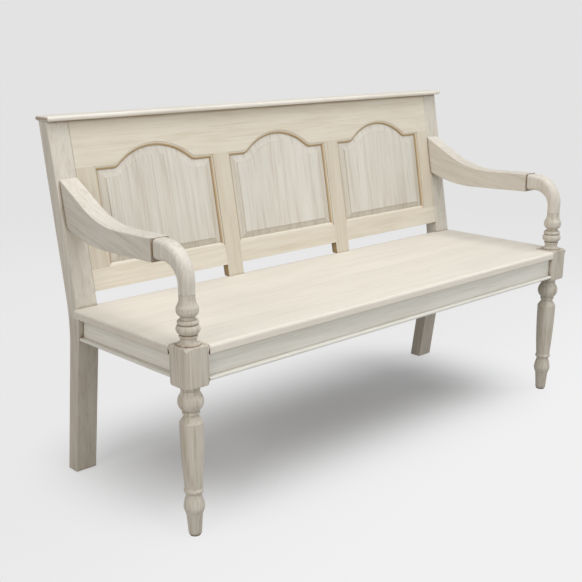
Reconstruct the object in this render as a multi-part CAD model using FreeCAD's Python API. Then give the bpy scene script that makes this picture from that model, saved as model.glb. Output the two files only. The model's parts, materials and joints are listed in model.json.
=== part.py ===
import FreeCAD, Part
import math
import os

# A deacon's bench in pale timber: a raked back of three arched raised panels between two sawn
# rear posts, a board seat on four aprons, and turned front legs whose tops carry bent arm
# supports and swept arms. Millimetres, +Z up, the front towards -Y. The origin is on the
# floor, under the middle of the bench. Heights are above the floor unless a comment says so.

Vector = FreeCAD.Vector
SIDES = {"left": -1, "right": 1}

# Overall sizes
seat_length = 1465.0          # over the seat, and over the outer faces of the leg blocks
seat_height = 454.0           # top of the seat
bench_height = 909.0          # top of the cap
seat_to_post = 447.0          # seat front to the front of a rear post, at seat height
joint_clearance = 0.15        # round every tenon and dowel

# Front legs: turned foot, square block and turned arm support in one piece
block_side = 65.0
block_height = 93.0
block_rise = 2.0              # block top above the seat
block_chamfer = 4.6
block_stop_radius = 25.0      # run-out of the chamfer below the block's top
block_stop_drop = 22.0        # chamfer's straight end below the block's top
block_ease = 2.5
pommel_radius = 39.5          # radius at which the turning cuts the block's corners
pommel_height = 7.0
support_radius = 18.0         # turned arm support at its joint with the bend
taper_foot_radius = 20.2      # long taper between the foot and the neck
taper_bulge = 1.8
neck_top_radius = 23.4        # under the block
glide_thickness = 3.0
glide_radius = 12.5

# Turned rows from the floor up, as (rise, radius at the row's foot, bulge). A row rises to the
# foot of the next one. Bulge is how far its line swells outwards, and is negative in a hollow.
foot_rows = [
    (3.0, 14.0, 0),
    (47.0, 15.2, 0),
    (11.0, 18.8, 0),
    (10.0, 22.8, 0.6),
    (27.0, 24.3, 0.9),
    (4.5, 17.8, 0),
    (1.2, 17.8, 0),
    (10.3, 20.8, 1.8),
    (1.5, 20.8, 0),
]
neck_rows = [
    (1.5, 27.0, 0),
    (1.5, 26.8, 0),
    (12.0, 25.2, 0.4),
    (5.0, 17.0, 0),
    (1.0, 17.0, 0),
    (5.0, 19.6, 0.7),
    (1.0, 19.6, 0),
    (1.5, 18.6, 0),
    (33.9, 19.4, 6.2),
    (0.8, 26.4, 0),
    (0.8, 25.4, 0),
    (12.0, 25.4, -0.8),
    (1.0, 20.6, 0),
    (1.0, 22.0, 0),
    (9.0, 21.4, -0.6),
]
support_rows = [
    (2.5, 27.0, 0),
    (0.5, 27.0, 0),
    (12.0, 25.6, -3.0),
    (1.5, 18.4, 0),
    (5.0, 20.2, 0.9),
    (1.0, 20.2, 0),
    (1.5, 18.6, 0),
    (0.5, 18.6, 0),
    (20.0, 21.4, 4.6),
    (0.5, 23.4, 0),
    (1.5, 21.8, 0),
    (0.5, 21.8, 0),
    (8.5, 23.2, 2.0),
    (1.5, 20.8, 0),
    (6.0, 17.2, -0.6),
    (1.0, 17.2, 0),
    (15.0, 18.6, 2.6),
    (7.0, 25.0, 0.6),
    (15.0, 23.6, -0.9),
    (10.0, 18.3, 0),
]

# Rear posts, sawn with a bend at seat height
post_end_inset = 10.5         # outer face of a post inside the end of the seat
post_width = 59.0
post_thickness = 35.7         # front to back at the top
post_foot_thickness = 39.0
post_front_knee_drop = 24.0   # front knee below the seat's top
post_knee_drop = 43.0         # back knee below the seat's top
post_knee_reach = 37.2        # back knee, before its rounding, behind the front at seat height
post_knee_radius = 450.0
post_splay = 56.5             # front of the foot behind the front at seat height
back_rake = 10.34             # degrees
post_ease = 2.0

# Cap along the top of the back
cap_thickness = 12.0
cap_end_overhang = 6.0
cap_front_overhang = 20.0
cap_back_overhang = 4.0
cap_round = 5.5
cap_corner = 3.0

# Back frame, in its own raked plane: heights are along the slope above the seat
frame_thickness = 20.0
frame_setback = 0.5           # behind the front of the posts
muntin_width = 53.0
stile_width = 52.0
under_back_gap = 33.5         # seat to bottom rail
bottom_rail_height = 53.5
top_rail_height = 115.8       # from the shoulders of the arches up to the cap
arch_rise = 47.0
arch_shoulder = 56.1          # level shoulder at each side of an arch
arch_fillet = 21.0            # where an arch runs out into its shoulders
sticking_width = 9.0          # moulded edge round an opening
sticking_depth = 6.0          # frame's face to the front of the groove
sticking_rows = [(0.0, 0.20), (0.35, 0.25), (0.65, 0.40), (0.88, 0.62), (1.0, 0.85)]  # shares
groove_width = 6.0
groove_depth = 9.5            # from the inner edge of the moulding
panel_clearance = 1.5         # room for the panel to move in its groove
panel_slack = 0.2             # panel edge to each side of the groove
panel_margin = 30.0           # opening edge to the raised field, at the sides and the head
panel_foot_margin = 25.0
panel_reveal = 1.0            # flat of the panel inside the moulding
field_depth = 1.5             # raised field behind the frame's face
field_step = 1.5
tenon_thickness = 8.0
tenon_length = 22.0
tenon_shoulder = 9.0          # each end of a tenon's width
muntin_web = 11.0             # wood left in a muntin between the tenons from its two sides
seat_tenon_length = 9.0
seat_tenon_thickness = 4.0
seat_tenon_setback = 4.5      # behind the frame's face

# Seat of edge-glued boards
seat_thickness = 22.0
seat_board_count = 4
seat_round_top = 8.0
seat_round_bottom = 3.0
seat_back_lap = 15.5          # seat past the front of the rear posts
seat_notch_gap = 0.5

# Aprons and the bead along their lower edges
apron_height = 61.0
apron_thickness = 20.0
front_apron_inset = 14.0      # behind the front of the leg blocks
side_apron_inset = 15.0       # inside the outer faces of the rear posts
rear_apron_inset = 8.0        # behind the front of the posts at seat height
bead_height = 8.5
bead_depth = 12.0
bead_round = 4.0

# Arms and their bends
arm_width = 50.0
arm_back_inset = 8.0          # outer face inside the post's outer face
arm_rise = 223.5              # top of the arm's front end above the seat
arm_thickness = 53.5          # at the front end
arm_sweep_top_lead = 109.5    # corner of the top edge ahead of the post at seat height
arm_sweep_top_dip = 5.5       # that corner below the arm's front top
arm_sweep_top_radius = 300.0
arm_sweep_top_slope = 0.545
arm_sweep_bottom_lead = 60.5
arm_sweep_bottom_dip = 7.5
arm_sweep_bottom_radius = 424.0
arm_sweep_bottom_slope = 0.328
arm_ease = 3.0
arm_tenon_thickness = 16.0
arm_tenon_height = 60.0
arm_tenon_length = 20.0
bend_radius = 64.0            # centre line of the bend
bend_straight = 26.0          # straight run between the turn and the arm's front end
bend_drop = 25.0              # centre line below the arm's front top
bend_width = 40.0
bend_depth = 46.0
bend_corner = 10.0
bend_flat = 0.5               # flat left on each side of the bend at the turned support
bend_turns = 6                # steps round the bend
dowel_radius = 6.0
support_dowel_drop = 30.0     # into the leg
support_dowel_rise = 18.0     # into the bend
arm_dowel_bite = 26.0         # into the bend and into the arm

# Framing under the seat
bearer_spacing = 470.0
bearer_width = 45.0
bearer_height = 40.0
bearer_tenon = 8.0
corner_block_reach = 60.0     # along each apron from the corner of the leg or post
corner_block_height = 38.0
screw_radius = 2.2
screw_head_radius = 4.4
screw_head_height = 3.0
seat_screw_bite = 14.0        # into the seat
cap_dowel_radius = 4.0
cap_dowel_bite = 7.0          # into the cap
cap_dowel_depth = 22.0        # into a post or the top rail
cap_dowel_spacing = 480.0     # between the two in the top rail
past = 1.0                    # how far a cutter runs past a face

# Places worked out from the sizes above
rake = math.radians(back_rake)
post_top = bench_height - cap_thickness
post_lean = (post_top - seat_height) * math.tan(rake)
bench_depth = seat_to_post + post_lean + post_thickness + cap_back_overhang
front_y = -bench_depth / 2
post_y = front_y + seat_to_post
post_knee_y = post_y - post_front_knee_drop * math.tan(rake)
seat_end_x = seat_length / 2
leg_x = seat_end_x - block_side / 2
leg_y = front_y + block_side / 2
post_outer_x = seat_end_x - post_end_inset
post_inner_x = post_outer_x - post_width
post_middle_x = (post_inner_x + post_outer_x) / 2
seat_bottom = seat_height - seat_thickness
block_top = seat_height + block_rise
block_bottom = block_top - block_height
support_top = block_top + sum(rise for rise, _, _ in support_rows)
apron_bottom = seat_bottom - apron_height
seat_back_y = post_y + seat_back_lap
side_apron_outer_x = post_outer_x - side_apron_inset
side_apron_inner_x = side_apron_outer_x - apron_thickness
front_apron_y = front_y + front_apron_inset
front_apron_back_y = front_apron_y + apron_thickness
rear_apron_y = post_y + rear_apron_inset
arm_front_y = leg_y + bend_radius + bend_straight
arm_back_x = post_outer_x - arm_back_inset - arm_width / 2
arm_splay = leg_x - arm_back_x
arm_front_top = seat_height + arm_rise
arm_front_bottom = arm_front_top - arm_thickness
bend_height = arm_front_top - bend_drop
opening_width = (2 * post_inner_x - 2 * stile_width - 2 * muntin_width) / 3
opening_half = opening_width / 2
opening_pitch = opening_width + muntin_width
slope_top = (post_top - seat_height) / math.cos(rake)
shoulder_height = slope_top - top_rail_height
arch_run = opening_half - arch_shoulder
arch_radius = (arch_run ** 2 + arch_rise ** 2) / (2 * arch_rise) - arch_fillet
bottom_rail_top = under_back_gap + bottom_rail_height
frame_back = frame_setback + frame_thickness
groove_front = frame_setback + sticking_depth
tenon_front = frame_setback + (frame_thickness - tenon_thickness) / 2
tenon_back = tenon_front + tenon_thickness
bay_x = {"left": -opening_pitch, "centre": 0.0, "right": opening_pitch}


# Helpers

def box(x0, x1, y0, y1, z0, z1, grow=0.0):
    """Block between two corners, swollen by grow on every side."""
    size = (x1 - x0 + 2 * grow, y1 - y0 + 2 * grow, z1 - z0 + 2 * grow)
    return Part.makeBox(*size, Vector(x0 - grow, y0 - grow, z0 - grow))


def rounded_wire(corners, radii):
    """Closed wire through the corners, each rounded to its own radius."""
    count = len(corners)
    edges = []
    starts = []
    ends = []
    arcs = []
    for i, (corner, radius) in enumerate(zip(corners, radii)):
        to_last = (corners[i - 1] - corner).normalize()
        to_next = (corners[(i + 1) % count] - corner).normalize()
        if radius == 0:
            starts.append(corner)
            ends.append(corner)
            arcs.append(None)
            continue
        half = to_last.getAngle(to_next) / 2
        run = radius / math.tan(half)
        bisector = (to_last + to_next).normalize()
        middle = corner + bisector * (radius / math.sin(half) - radius)
        starts.append(corner + to_last * run)
        ends.append(corner + to_next * run)
        arcs.append(middle)
    for i in range(count):
        if arcs[i] is not None:
            edges.append(Part.Arc(starts[i], arcs[i], ends[i]).toShape())
        following = starts[(i + 1) % count]
        if ends[i].distanceToPoint(following) > 1e-6:
            edges.append(Part.LineSegment(ends[i], following).toShape())
    return Part.Wire(edges)


def side_prism(outline, radii, x0, x1):
    """Side outline of (y, z) corners, extruded from x0 to x1."""
    corners = [Vector(x0, y, z) for y, z in outline]
    return Part.Face(rounded_wire(corners, radii)).extrude(Vector(x1 - x0, 0, 0))


def stacked(start, rows, top_radius):
    """Stations of turned rows stacked upwards from a height, as (height, radius, bulge)."""
    stations = []
    height = start
    for rise, radius, bulge in rows:
        stations.append((height, radius, bulge))
        height += rise
    stations.append((height, top_radius, 0))
    return stations


def turning(stations, x, y):
    """Solid turned about the upright through (x, y), from (height, radius, bulge) stations."""
    points = [Vector(r, 0, z) for z, r, _ in stations]
    edges = []
    for (first, second), (_, _, bulge) in zip(zip(points, points[1:]), stations):
        if bulge == 0:
            edges.append(Part.LineSegment(first, second).toShape())
            continue
        along = (second - first).normalize()
        outward = Vector(along.z, 0, -along.x)
        middle = (first + second) * 0.5 + outward * bulge
        edges.append(Part.Arc(first, middle, second).toShape())
    top = Vector(0, 0, points[-1].z)
    foot = Vector(0, 0, points[0].z)
    edges.append(Part.LineSegment(points[-1], top).toShape())
    edges.append(Part.LineSegment(top, foot).toShape())
    edges.append(Part.LineSegment(foot, points[0]).toShape())
    solid = Part.Face(Part.Wire(edges)).revolve(Vector(0, 0, 0), Vector(0, 0, 1), 360)
    solid.translate(Vector(x, y, 0))
    return solid


def rounded(solid, radius, chosen):
    """Solid with the edges that chosen accepts rounded to the radius."""
    return solid.makeFillet(radius, [edge for edge in solid.Edges if chosen(edge)])


def runs_along(edge, axis):
    """Whether a straight edge runs along the axis."""
    first, last = edge.Vertexes[0].Point, edge.Vertexes[-1].Point
    return abs((last - first).normalize().dot(axis)) > 0.999


def in_back(shape):
    """Shape drawn upright in the back's plane, leaned back onto the posts."""
    shape.rotate(Vector(0, 0, 0), Vector(1, 0, 0), -back_rake)
    shape.translate(Vector(0, post_y, seat_height))
    return shape


def cut_all(solid, cutters):
    """Solid with every cutter taken out of it."""
    for cutter in cutters:
        solid = solid.cut(cutter)
    return solid


def join_all(solid, pieces):
    """Solid with every piece added to it."""
    for piece in pieces:
        solid = solid.fuse(piece)
    return solid.removeSplitter()


def save(name, solids):
    """Writes one node."""
    shape = solids[0] if len(solids) == 1 else Part.makeCompound(solids)
    shape.exportStep("parts/" + name + ".step")


def mirrored(shape):
    """Shape mirrored to the other end of the bench."""
    return shape.mirror(Vector(0, 0, 0), Vector(1, 0, 0))


# Rear posts

def post_outline():
    """Side outline of a rear post as (y, z) corners, from the foot's front."""
    foot_y = post_y + post_splay
    top_y = post_y + post_lean
    return [
        (foot_y, glide_thickness),
        (post_knee_y, seat_height - post_front_knee_drop),
        (top_y, post_top),
        (top_y + post_thickness, post_top),
        (post_y + post_knee_reach, seat_height - post_knee_drop),
        (foot_y + post_foot_thickness, glide_thickness),
    ]


def post_blank():
    """Right-hand rear post before its mortises."""
    radii = [0, 0, 0, 0, post_knee_radius, 0]
    solid = side_prism(post_outline(), radii, post_inner_x, post_outer_x)
    ends = (glide_thickness, post_top)

    def long_edge(edge):
        level = edge.BoundBox.ZLength < 1e-6
        return not level and not any(abs(edge.CenterOfMass.z - z) < 1e-6 for z in ends)

    return rounded(solid, post_ease, long_edge)


# Front legs

def leg_stations():
    """Turned foot and leg below the block, whose long taper takes up the height that is left."""
    foot_end = glide_thickness + sum(rise for rise, _, _ in foot_rows)
    neck_start = block_bottom - sum(rise for rise, _, _ in neck_rows)
    taper = (neck_start - foot_end, taper_foot_radius, taper_bulge)
    return stacked(glide_thickness, foot_rows + [taper] + neck_rows, neck_top_radius)


def support_stations():
    """Turned arm support above the block."""
    return stacked(block_top, support_rows, support_radius)


def leg_block():
    """Square block of the right-hand front leg, chamfered and turned in at top and bottom."""
    half = block_side / 2
    solid = box(-half, half, -half, half, block_bottom, block_top)
    solid = rounded(solid, block_ease, lambda edge: edge.BoundBox.ZLength < 1e-6)
    corner = half * math.sqrt(2)
    pommel = turning([
        (block_bottom, pommel_radius, 0),
        (block_bottom + pommel_height, corner, 0),
        (block_top - pommel_height, corner, 0),
        (block_top, pommel_radius, 0),
    ], 0, 0)
    solid = solid.common(pommel)
    flat = corner - block_chamfer / math.sqrt(2)
    stop = block_top - block_stop_drop
    for turn in (45, 135, 225, 315):
        cutter = box(flat, flat + block_side, -half, half, block_bottom - past, stop)
        run_out = Part.makeCylinder(
            block_stop_radius, block_side, Vector(flat + block_stop_radius, -half, stop), Vector(0, 1, 0)
        )
        cutter = cutter.fuse(run_out)
        cutter.rotate(Vector(0, 0, 0), Vector(0, 0, 1), turn)
        solid = solid.cut(cutter)
    solid.translate(Vector(leg_x, leg_y, 0))
    return solid


def leg_blank():
    """Right-hand front leg before its mortises."""
    turned = [turning(leg_stations(), leg_x, leg_y), turning(support_stations(), leg_x, leg_y)]
    return join_all(leg_block(), turned)


# Aprons and beads

def front_tenon(grow=0.0):
    """Tenon of the front apron in the right-hand leg."""
    inset = (apron_thickness - tenon_thickness) / 2
    face = leg_x - block_side / 2
    return box(
        face - past, face + tenon_length,
        front_apron_y + inset, front_apron_y + inset + tenon_thickness,
        apron_bottom + tenon_shoulder, seat_bottom - tenon_shoulder, grow,
    )


def side_front_tenon(grow=0.0):
    """Tenon of the right-hand side apron in the front leg."""
    inset = (apron_thickness - tenon_thickness) / 2
    face = leg_y + block_side / 2
    return box(
        side_apron_inner_x + inset, side_apron_outer_x - inset,
        face - tenon_length, face + past,
        apron_bottom + tenon_shoulder, seat_bottom - tenon_shoulder, grow,
    )


def side_rear_tenon(grow=0.0):
    """Tenon of the right-hand side apron in the rear post."""
    inset = (apron_thickness - tenon_thickness) / 2
    return box(
        side_apron_inner_x + inset, side_apron_outer_x - inset,
        post_knee_y - past, post_y + tenon_length,
        apron_bottom + tenon_shoulder, seat_bottom - tenon_shoulder, grow,
    )


def rear_tenon(grow=0.0):
    """Tenon of the rear apron in the right-hand post."""
    inset = (apron_thickness - tenon_thickness) / 2
    return box(
        post_inner_x - past, post_inner_x + tenon_length,
        rear_apron_y + inset, rear_apron_y + inset + tenon_thickness,
        apron_bottom + tenon_shoulder, seat_bottom - tenon_shoulder, grow,
    )


def front_apron():
    """Front apron between the leg blocks, with its tenons."""
    half = leg_x - block_side / 2
    board = box(-half, half, front_apron_y, front_apron_back_y, apron_bottom, seat_bottom)
    return join_all(board, [front_tenon(), mirrored(front_tenon())])


def rear_apron():
    """Rear apron between the posts, with its tenons."""
    back = rear_apron_y + apron_thickness
    board = box(-post_inner_x, post_inner_x, rear_apron_y, back, apron_bottom, seat_bottom)
    return join_all(board, [rear_tenon(), mirrored(rear_tenon())])


def side_apron(post):
    """Right-hand side apron, scribed to the sloping front of the post."""
    board = box(
        side_apron_inner_x, side_apron_outer_x,
        leg_y + block_side / 2, post_y + post_thickness,
        apron_bottom, seat_bottom,
    )
    board = max(board.cut(post).Solids, key=lambda piece: piece.Volume)
    return join_all(board, [side_front_tenon(), side_rear_tenon()])


def bead_section():
    """Bead section as (out, up) corners with their radii."""
    corners = [(0, 0), (bead_depth, 0), (bead_depth, bead_height), (0, bead_height)]
    return corners, [0, bead_round, bead_round, 0]


def front_bead():
    """Bead under the front apron, between the leg blocks."""
    half = leg_x - block_side / 2
    corners, radii = bead_section()
    outline = [(front_apron_y - out, apron_bottom + up) for out, up in corners]
    return side_prism(outline, radii, -half, half)


def side_bead(post):
    """Bead under the right-hand side apron."""
    corners, radii = bead_section()
    start = leg_y + block_side / 2
    outline = [Vector(side_apron_outer_x + out, start, apron_bottom + up) for out, up in corners]
    bar = Part.Face(rounded_wire(outline, radii)).extrude(Vector(0, post_y + post_thickness - start, 0))
    return max(bar.cut(post).Solids, key=lambda piece: piece.Volume)


# Seat

def seat_slab(post):
    """Whole seat, notched round the leg blocks and the posts, with its edges rounded."""
    slab = box(-seat_end_x, seat_end_x, front_y, seat_back_y, seat_bottom, seat_height)
    notch_x = leg_x - block_side / 2 - seat_notch_gap
    notch_y = leg_y + block_side / 2 + seat_notch_gap
    below, above = seat_bottom - past, seat_height + past
    for side in SIDES.values():
        inner, outer = sorted((side * notch_x, side * (seat_end_x + past)))
        slab = slab.cut(box(inner, outer, front_y - past, notch_y, below, above))
        inner, outer = sorted((side * post_inner_x, side * (seat_end_x + past)))
        slab = slab.cut(box(inner, outer, post_y, seat_back_y + past, below, above))

    def outer_edge(edge, height):
        box_ = edge.BoundBox
        level = abs(box_.ZMin - height) < 1e-6 and abs(box_.ZMax - height) < 1e-6
        at_end = box_.XLength < 1e-6 and abs(abs(box_.XMin) - seat_end_x) < 1e-6
        at_front = box_.YLength < 1e-6 and abs(box_.YMin - front_y) < 1e-6
        at_back = box_.YLength < 1e-6 and abs(box_.YMin - seat_back_y) < 1e-6
        return level and (at_end or at_front or at_back)

    slab = rounded(slab, seat_round_top, lambda edge: outer_edge(edge, seat_height))
    slab = rounded(slab, seat_round_bottom, lambda edge: outer_edge(edge, seat_bottom))
    for piece in (post, mirrored(post)):
        slab = slab.cut(piece)
    return slab


def seat_boards(slab):
    """Seat slab sawn into its boards, front board first."""
    depth = (seat_back_y - front_y) / seat_board_count
    boards = []
    for number in range(seat_board_count):
        start = front_y + number * depth
        strip = box(-seat_end_x, seat_end_x, start, start + depth, seat_bottom, seat_height)
        boards.append(slab.common(strip))
    return boards


# Back frame, drawn upright with its face at y = 0 and the seat at z = 0

def opening_wire(x, inward, depth, foot_rise=None):
    """Outline of a panel opening, drawn inward from its edge, at a depth behind the posts.

    The foot is drawn in as far as the other sides, unless it has its own rise.
    """
    half = opening_half - inward
    low = bottom_rail_top + (inward if foot_rise is None else foot_rise)
    shoulder = shoulder_height - inward
    radius = arch_radius - inward
    fillet = arch_fillet + inward
    crown = shoulder_height + arch_rise - arch_radius
    fillet_z = shoulder + fillet
    fillet_x = math.sqrt((radius + fillet) ** 2 - (fillet_z - crown) ** 2)
    along = Vector(fillet_x, 0, fillet_z - crown).normalize()
    swing = (along + Vector(0, 0, 1)).normalize()
    touch = (along.x * radius, crown + along.z * radius)
    middle = (fillet_x - swing.x * fillet, fillet_z - swing.z * fillet)
    foot, head, run_out = (half, low), (half, shoulder), (fillet_x, shoulder)
    left, right = -1, 1

    def place(side, point):
        return Vector(x + side * point[0], depth, point[1])

    return Part.Wire([
        Part.LineSegment(place(left, foot), place(right, foot)).toShape(),
        Part.LineSegment(place(right, foot), place(right, head)).toShape(),
        Part.LineSegment(place(right, head), place(right, run_out)).toShape(),
        Part.Arc(place(right, run_out), place(right, middle), place(right, touch)).toShape(),
        Part.Arc(place(right, touch), place(right, (0, crown + radius)), place(left, touch)).toShape(),
        Part.Arc(place(left, touch), place(left, middle), place(left, run_out)).toShape(),
        Part.LineSegment(place(left, run_out), place(left, head)).toShape(),
        Part.LineSegment(place(left, head), place(left, foot)).toShape(),
    ])


def opening_loft(x, steps):
    """Solid through opening outlines given as (inward, depth) or (inward, depth, foot rise)."""
    return Part.makeLoft([opening_wire(x, *step) for step in steps], True, True)


def opening_cutter(x):
    """What one panel opening takes out of the frame: the moulded edge and the groove."""
    steps = [(0.0, frame_setback - past)]
    for across, deep in sticking_rows:
        steps.append((across * sticking_width, frame_setback + deep * sticking_depth))
    steps.append((sticking_width, frame_back + past))
    reach = sticking_width - groove_depth
    groove = opening_loft(x, [(reach, groove_front), (reach, groove_front + groove_width)])
    return opening_loft(x, steps).fuse(groove)


def opening_corner(x, side, end, inward):
    """Square corner of an opening: side is -1 or 1, and end is 0 at its foot and 1 at its shoulders."""
    z = shoulder_height - inward if end else bottom_rail_top + inward
    return Vector(x + side * (opening_half - inward), frame_setback, z)


def lip(x, first, second):
    """Strip of frame along an opening between two of its corners, mitred at both ends."""
    corners = [
        opening_corner(x, *first, 0.0),
        opening_corner(x, *second, 0.0),
        opening_corner(x, *second, sticking_width),
        opening_corner(x, *first, sticking_width),
    ]
    return Part.Face(rounded_wire(corners, [0] * len(corners))).extrude(Vector(0, frame_thickness, 0))


def back_panel(x):
    """Raised panel, with a field that follows the arched opening."""
    edge = sticking_width - groove_depth + panel_clearance
    back = groove_front + groove_width - panel_slack
    front = groove_front + panel_slack
    field = frame_setback + field_depth
    plate = opening_loft(x, [(edge, front), (edge, back)])
    bevel = opening_loft(x, [
        (sticking_width + panel_reveal, front),
        (panel_margin, field + field_step, panel_foot_margin),
        (panel_margin, field, panel_foot_margin),
    ])
    return in_back(join_all(plate, [bevel]))


def rail_tenon(inner_x, outer_x, low, high, grow=0.0):
    """Tenon in the back's plane, between two places along the bench."""
    x0, x1 = sorted((inner_x, outer_x))
    return box(x0, x1, tenon_front, tenon_back, low + tenon_shoulder, high - tenon_shoulder, grow)


def top_rail_tenon(grow=0.0):
    """Tenon of the top rail in the right-hand post."""
    high = slope_top - tenon_shoulder
    return rail_tenon(post_inner_x - past, post_inner_x + tenon_length, shoulder_height, high, grow)


def top_rail(cutters):
    """Arched top rail between the posts, cut level at its top."""
    reach = slope_top + frame_thickness
    board = box(-post_inner_x, post_inner_x, frame_setback, frame_back, shoulder_height, reach)
    board = join_all(board, [lip(x, (-1, 1), (1, 1)) for x in bay_x.values()])
    mortises = [upright_tenon(x, shoulder_height, joint_clearance) for x in upright_x()]
    board = cut_all(board, cutters + mortises)
    board = in_back(join_all(board, [top_rail_tenon(), mirrored(top_rail_tenon())]))
    above = box(-seat_length, seat_length, front_y, -front_y, post_top, post_top + seat_height)
    return board.cut(above)


def upright_x():
    """Middles of the two muntins and the two stiles, from the left."""
    muntin_x = opening_half + muntin_width / 2
    stile_x = post_inner_x - stile_width / 2
    return [-stile_x, -muntin_x, muntin_x, stile_x]


def upright_width(x):
    """Width of the upright at x."""
    return muntin_width if abs(x) < opening_pitch else stile_width


def upright_lips(x):
    """Moulded strips along the openings beside the upright at x."""
    edges = [(bay, side) for bay in bay_x.values() for side in SIDES.values()]
    beside = [(bay, side) for bay, side in edges if abs(bay + side * opening_half - x) < opening_half]
    return [lip(bay, (side, 0), (side, 1)) for bay, side in beside]


def upright_tenon(x, height, grow=0.0, up=1):
    """Tenon at the top (up is 1) or the foot (up is -1) of an upright of the back."""
    half = upright_width(x) / 2 - tenon_shoulder
    low, high = sorted((height - up * past, height + up * tenon_length))
    return box(x - half, x + half, tenon_front, tenon_back, low, high, grow)


def bottom_rail_ends(bay):
    """Both ends of a bottom rail, each with the length of its tenon."""
    x = bay_x[bay]
    muntin_tenon = (muntin_width - muntin_web) / 2
    left = (-post_inner_x, tenon_length) if bay == "left" else (x - opening_half, muntin_tenon)
    right = (post_inner_x, tenon_length) if bay == "right" else (x + opening_half, muntin_tenon)
    return left, right


def bottom_rail_tenons(bay, grow=0.0):
    """Both tenons of a bottom rail, the left one first."""
    (left, left_length), (right, right_length) = bottom_rail_ends(bay)
    return [
        rail_tenon(left + past, left - left_length, under_back_gap, bottom_rail_top, grow),
        rail_tenon(right - past, right + right_length, under_back_gap, bottom_rail_top, grow),
    ]


def bottom_rail(bay, cutters):
    """Bottom rail of one bay, tenoned at both ends."""
    (left, _), (right, _) = bottom_rail_ends(bay)
    board = box(left, right, frame_setback, frame_back, under_back_gap, bottom_rail_top)
    board = join_all(board, [lip(bay_x[bay], (-1, 0), (1, 0))])
    stiles = (upright_x()[0], upright_x()[-1])
    mortises = [upright_tenon(x, bottom_rail_top, joint_clearance, -1) for x in stiles]
    board = cut_all(board, cutters + mortises)
    return in_back(join_all(board, bottom_rail_tenons(bay)))


def stile(x, cutters):
    """Outer stile between a post and the outer panel."""
    half = stile_width / 2
    board = box(x - half, x + half, frame_setback, frame_back, bottom_rail_top, shoulder_height)
    board = cut_all(join_all(board, upright_lips(x)), cutters)
    tenons = [upright_tenon(x, shoulder_height), upright_tenon(x, bottom_rail_top, 0.0, -1)]
    return in_back(join_all(board, tenons))


def muntin_seat_tenon(x, grow=0.0):
    """Stub tenon of a muntin in the seat, its end level."""
    half = muntin_width / 2 - tenon_shoulder
    front = frame_setback + seat_tenon_setback
    reach = seat_tenon_length + seat_thickness
    peg = in_back(box(x - half, x + half, front, front + seat_tenon_thickness, -reach, reach, grow))
    low = seat_height - seat_tenon_length - grow
    return peg.common(box(x - muntin_width, x + muntin_width, front_y, -front_y, low, seat_height + past))


def muntin(x, cutters):
    """Muntin from the top rail down to the seat."""
    half = muntin_width / 2
    board = box(x - half, x + half, frame_setback, frame_back, -frame_thickness, shoulder_height)
    board = cut_all(join_all(board, upright_lips(x)), cutters)
    for bay in bay_x:
        board = cut_all(board, bottom_rail_tenons(bay, joint_clearance))
    board = in_back(join_all(board, [upright_tenon(x, shoulder_height)]))
    ground = box(x - muntin_width, x + muntin_width, front_y, -front_y, 0, seat_height)
    return join_all(board.cut(ground), [muntin_seat_tenon(x)])


# Cap

def cap_rail():
    """Cap over the posts and the top rail, with rounded edges."""
    half = post_outer_x + cap_end_overhang
    front = post_y + post_lean - cap_front_overhang
    back = post_y + post_lean + post_thickness + cap_back_overhang
    solid = box(-half, half, front, back, post_top, bench_height)
    solid = rounded(solid, cap_corner, lambda edge: runs_along(edge, Vector(0, 0, 1)))
    return rounded(solid, cap_round, lambda edge: edge.BoundBox.ZLength < 1e-6)


def cap_dowels(grow=0.0):
    """Dowels between the cap and the back, from the left: two in the posts, two in the top rail."""
    places = [
        (-post_middle_x, post_thickness / 2),
        (-cap_dowel_spacing / 2, frame_setback + frame_thickness / 2),
        (cap_dowel_spacing / 2, frame_setback + frame_thickness / 2),
        (post_middle_x, post_thickness / 2),
    ]
    length = cap_dowel_bite + cap_dowel_depth + 2 * grow
    foot = post_top - cap_dowel_depth - grow
    top_y = post_y + post_lean
    return [
        Part.makeCylinder(cap_dowel_radius + grow, length, Vector(x, top_y + behind, foot), Vector(0, 0, 1))
        for x, behind in places
    ]


# Arms

def arm_outline():
    """Side outline of an arm as (y, z) corners, with their radii.

    The front end is left longer by the splay, and is trimmed square once the arm is swung.
    """
    back_y = post_y + post_lean
    end_y = arm_front_y - arm_splay
    top_y = post_y - arm_sweep_top_lead
    top_z = arm_front_top - arm_sweep_top_dip
    low_y = post_y - arm_sweep_bottom_lead
    low_z = arm_front_bottom - arm_sweep_bottom_dip
    corners = [
        (end_y, arm_front_top),
        (top_y, top_z),
        (back_y, top_z + (back_y - top_y) * arm_sweep_top_slope),
        (back_y, low_z + (back_y - low_y) * arm_sweep_bottom_slope),
        (low_y, low_z),
        (end_y, arm_front_bottom),
    ]
    return corners, [0, arm_sweep_top_radius, 0, 0, arm_sweep_bottom_radius, 0]


def turned_out(shape):
    """Right-hand arm piece, drawn about x = 0, set on the leg axis and swung to the post."""
    swing = math.degrees(math.atan2(arm_splay, post_y - arm_front_y))
    shape.rotate(Vector(0, arm_front_y, 0), Vector(0, 0, 1), swing)
    shape.translate(Vector(leg_x, 0, 0))
    return shape


def arm_blank():
    """Right-hand arm, fitted to the raked front of the post, without its dowel hole."""
    corners, radii = arm_outline()
    solid = side_prism(corners, radii, -arm_width / 2, arm_width / 2)
    ends = (corners[0][0], corners[2][0])

    def long_edge(edge):
        at_end = any(abs(edge.CenterOfMass.y - end) < 1e-6 for end in ends)
        return not at_end and edge.BoundBox.XLength < 1e-6

    solid = turned_out(rounded(solid, arm_ease, long_edge))
    ahead = box(-seat_length, seat_length, front_y, arm_front_y, seat_height, bench_height)
    behind = in_back(box(-seat_length, seat_length, 0, bench_depth, -seat_height, bench_height))
    return join_all(cut_all(solid, [ahead, behind]), [arm_tenon()])


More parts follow.
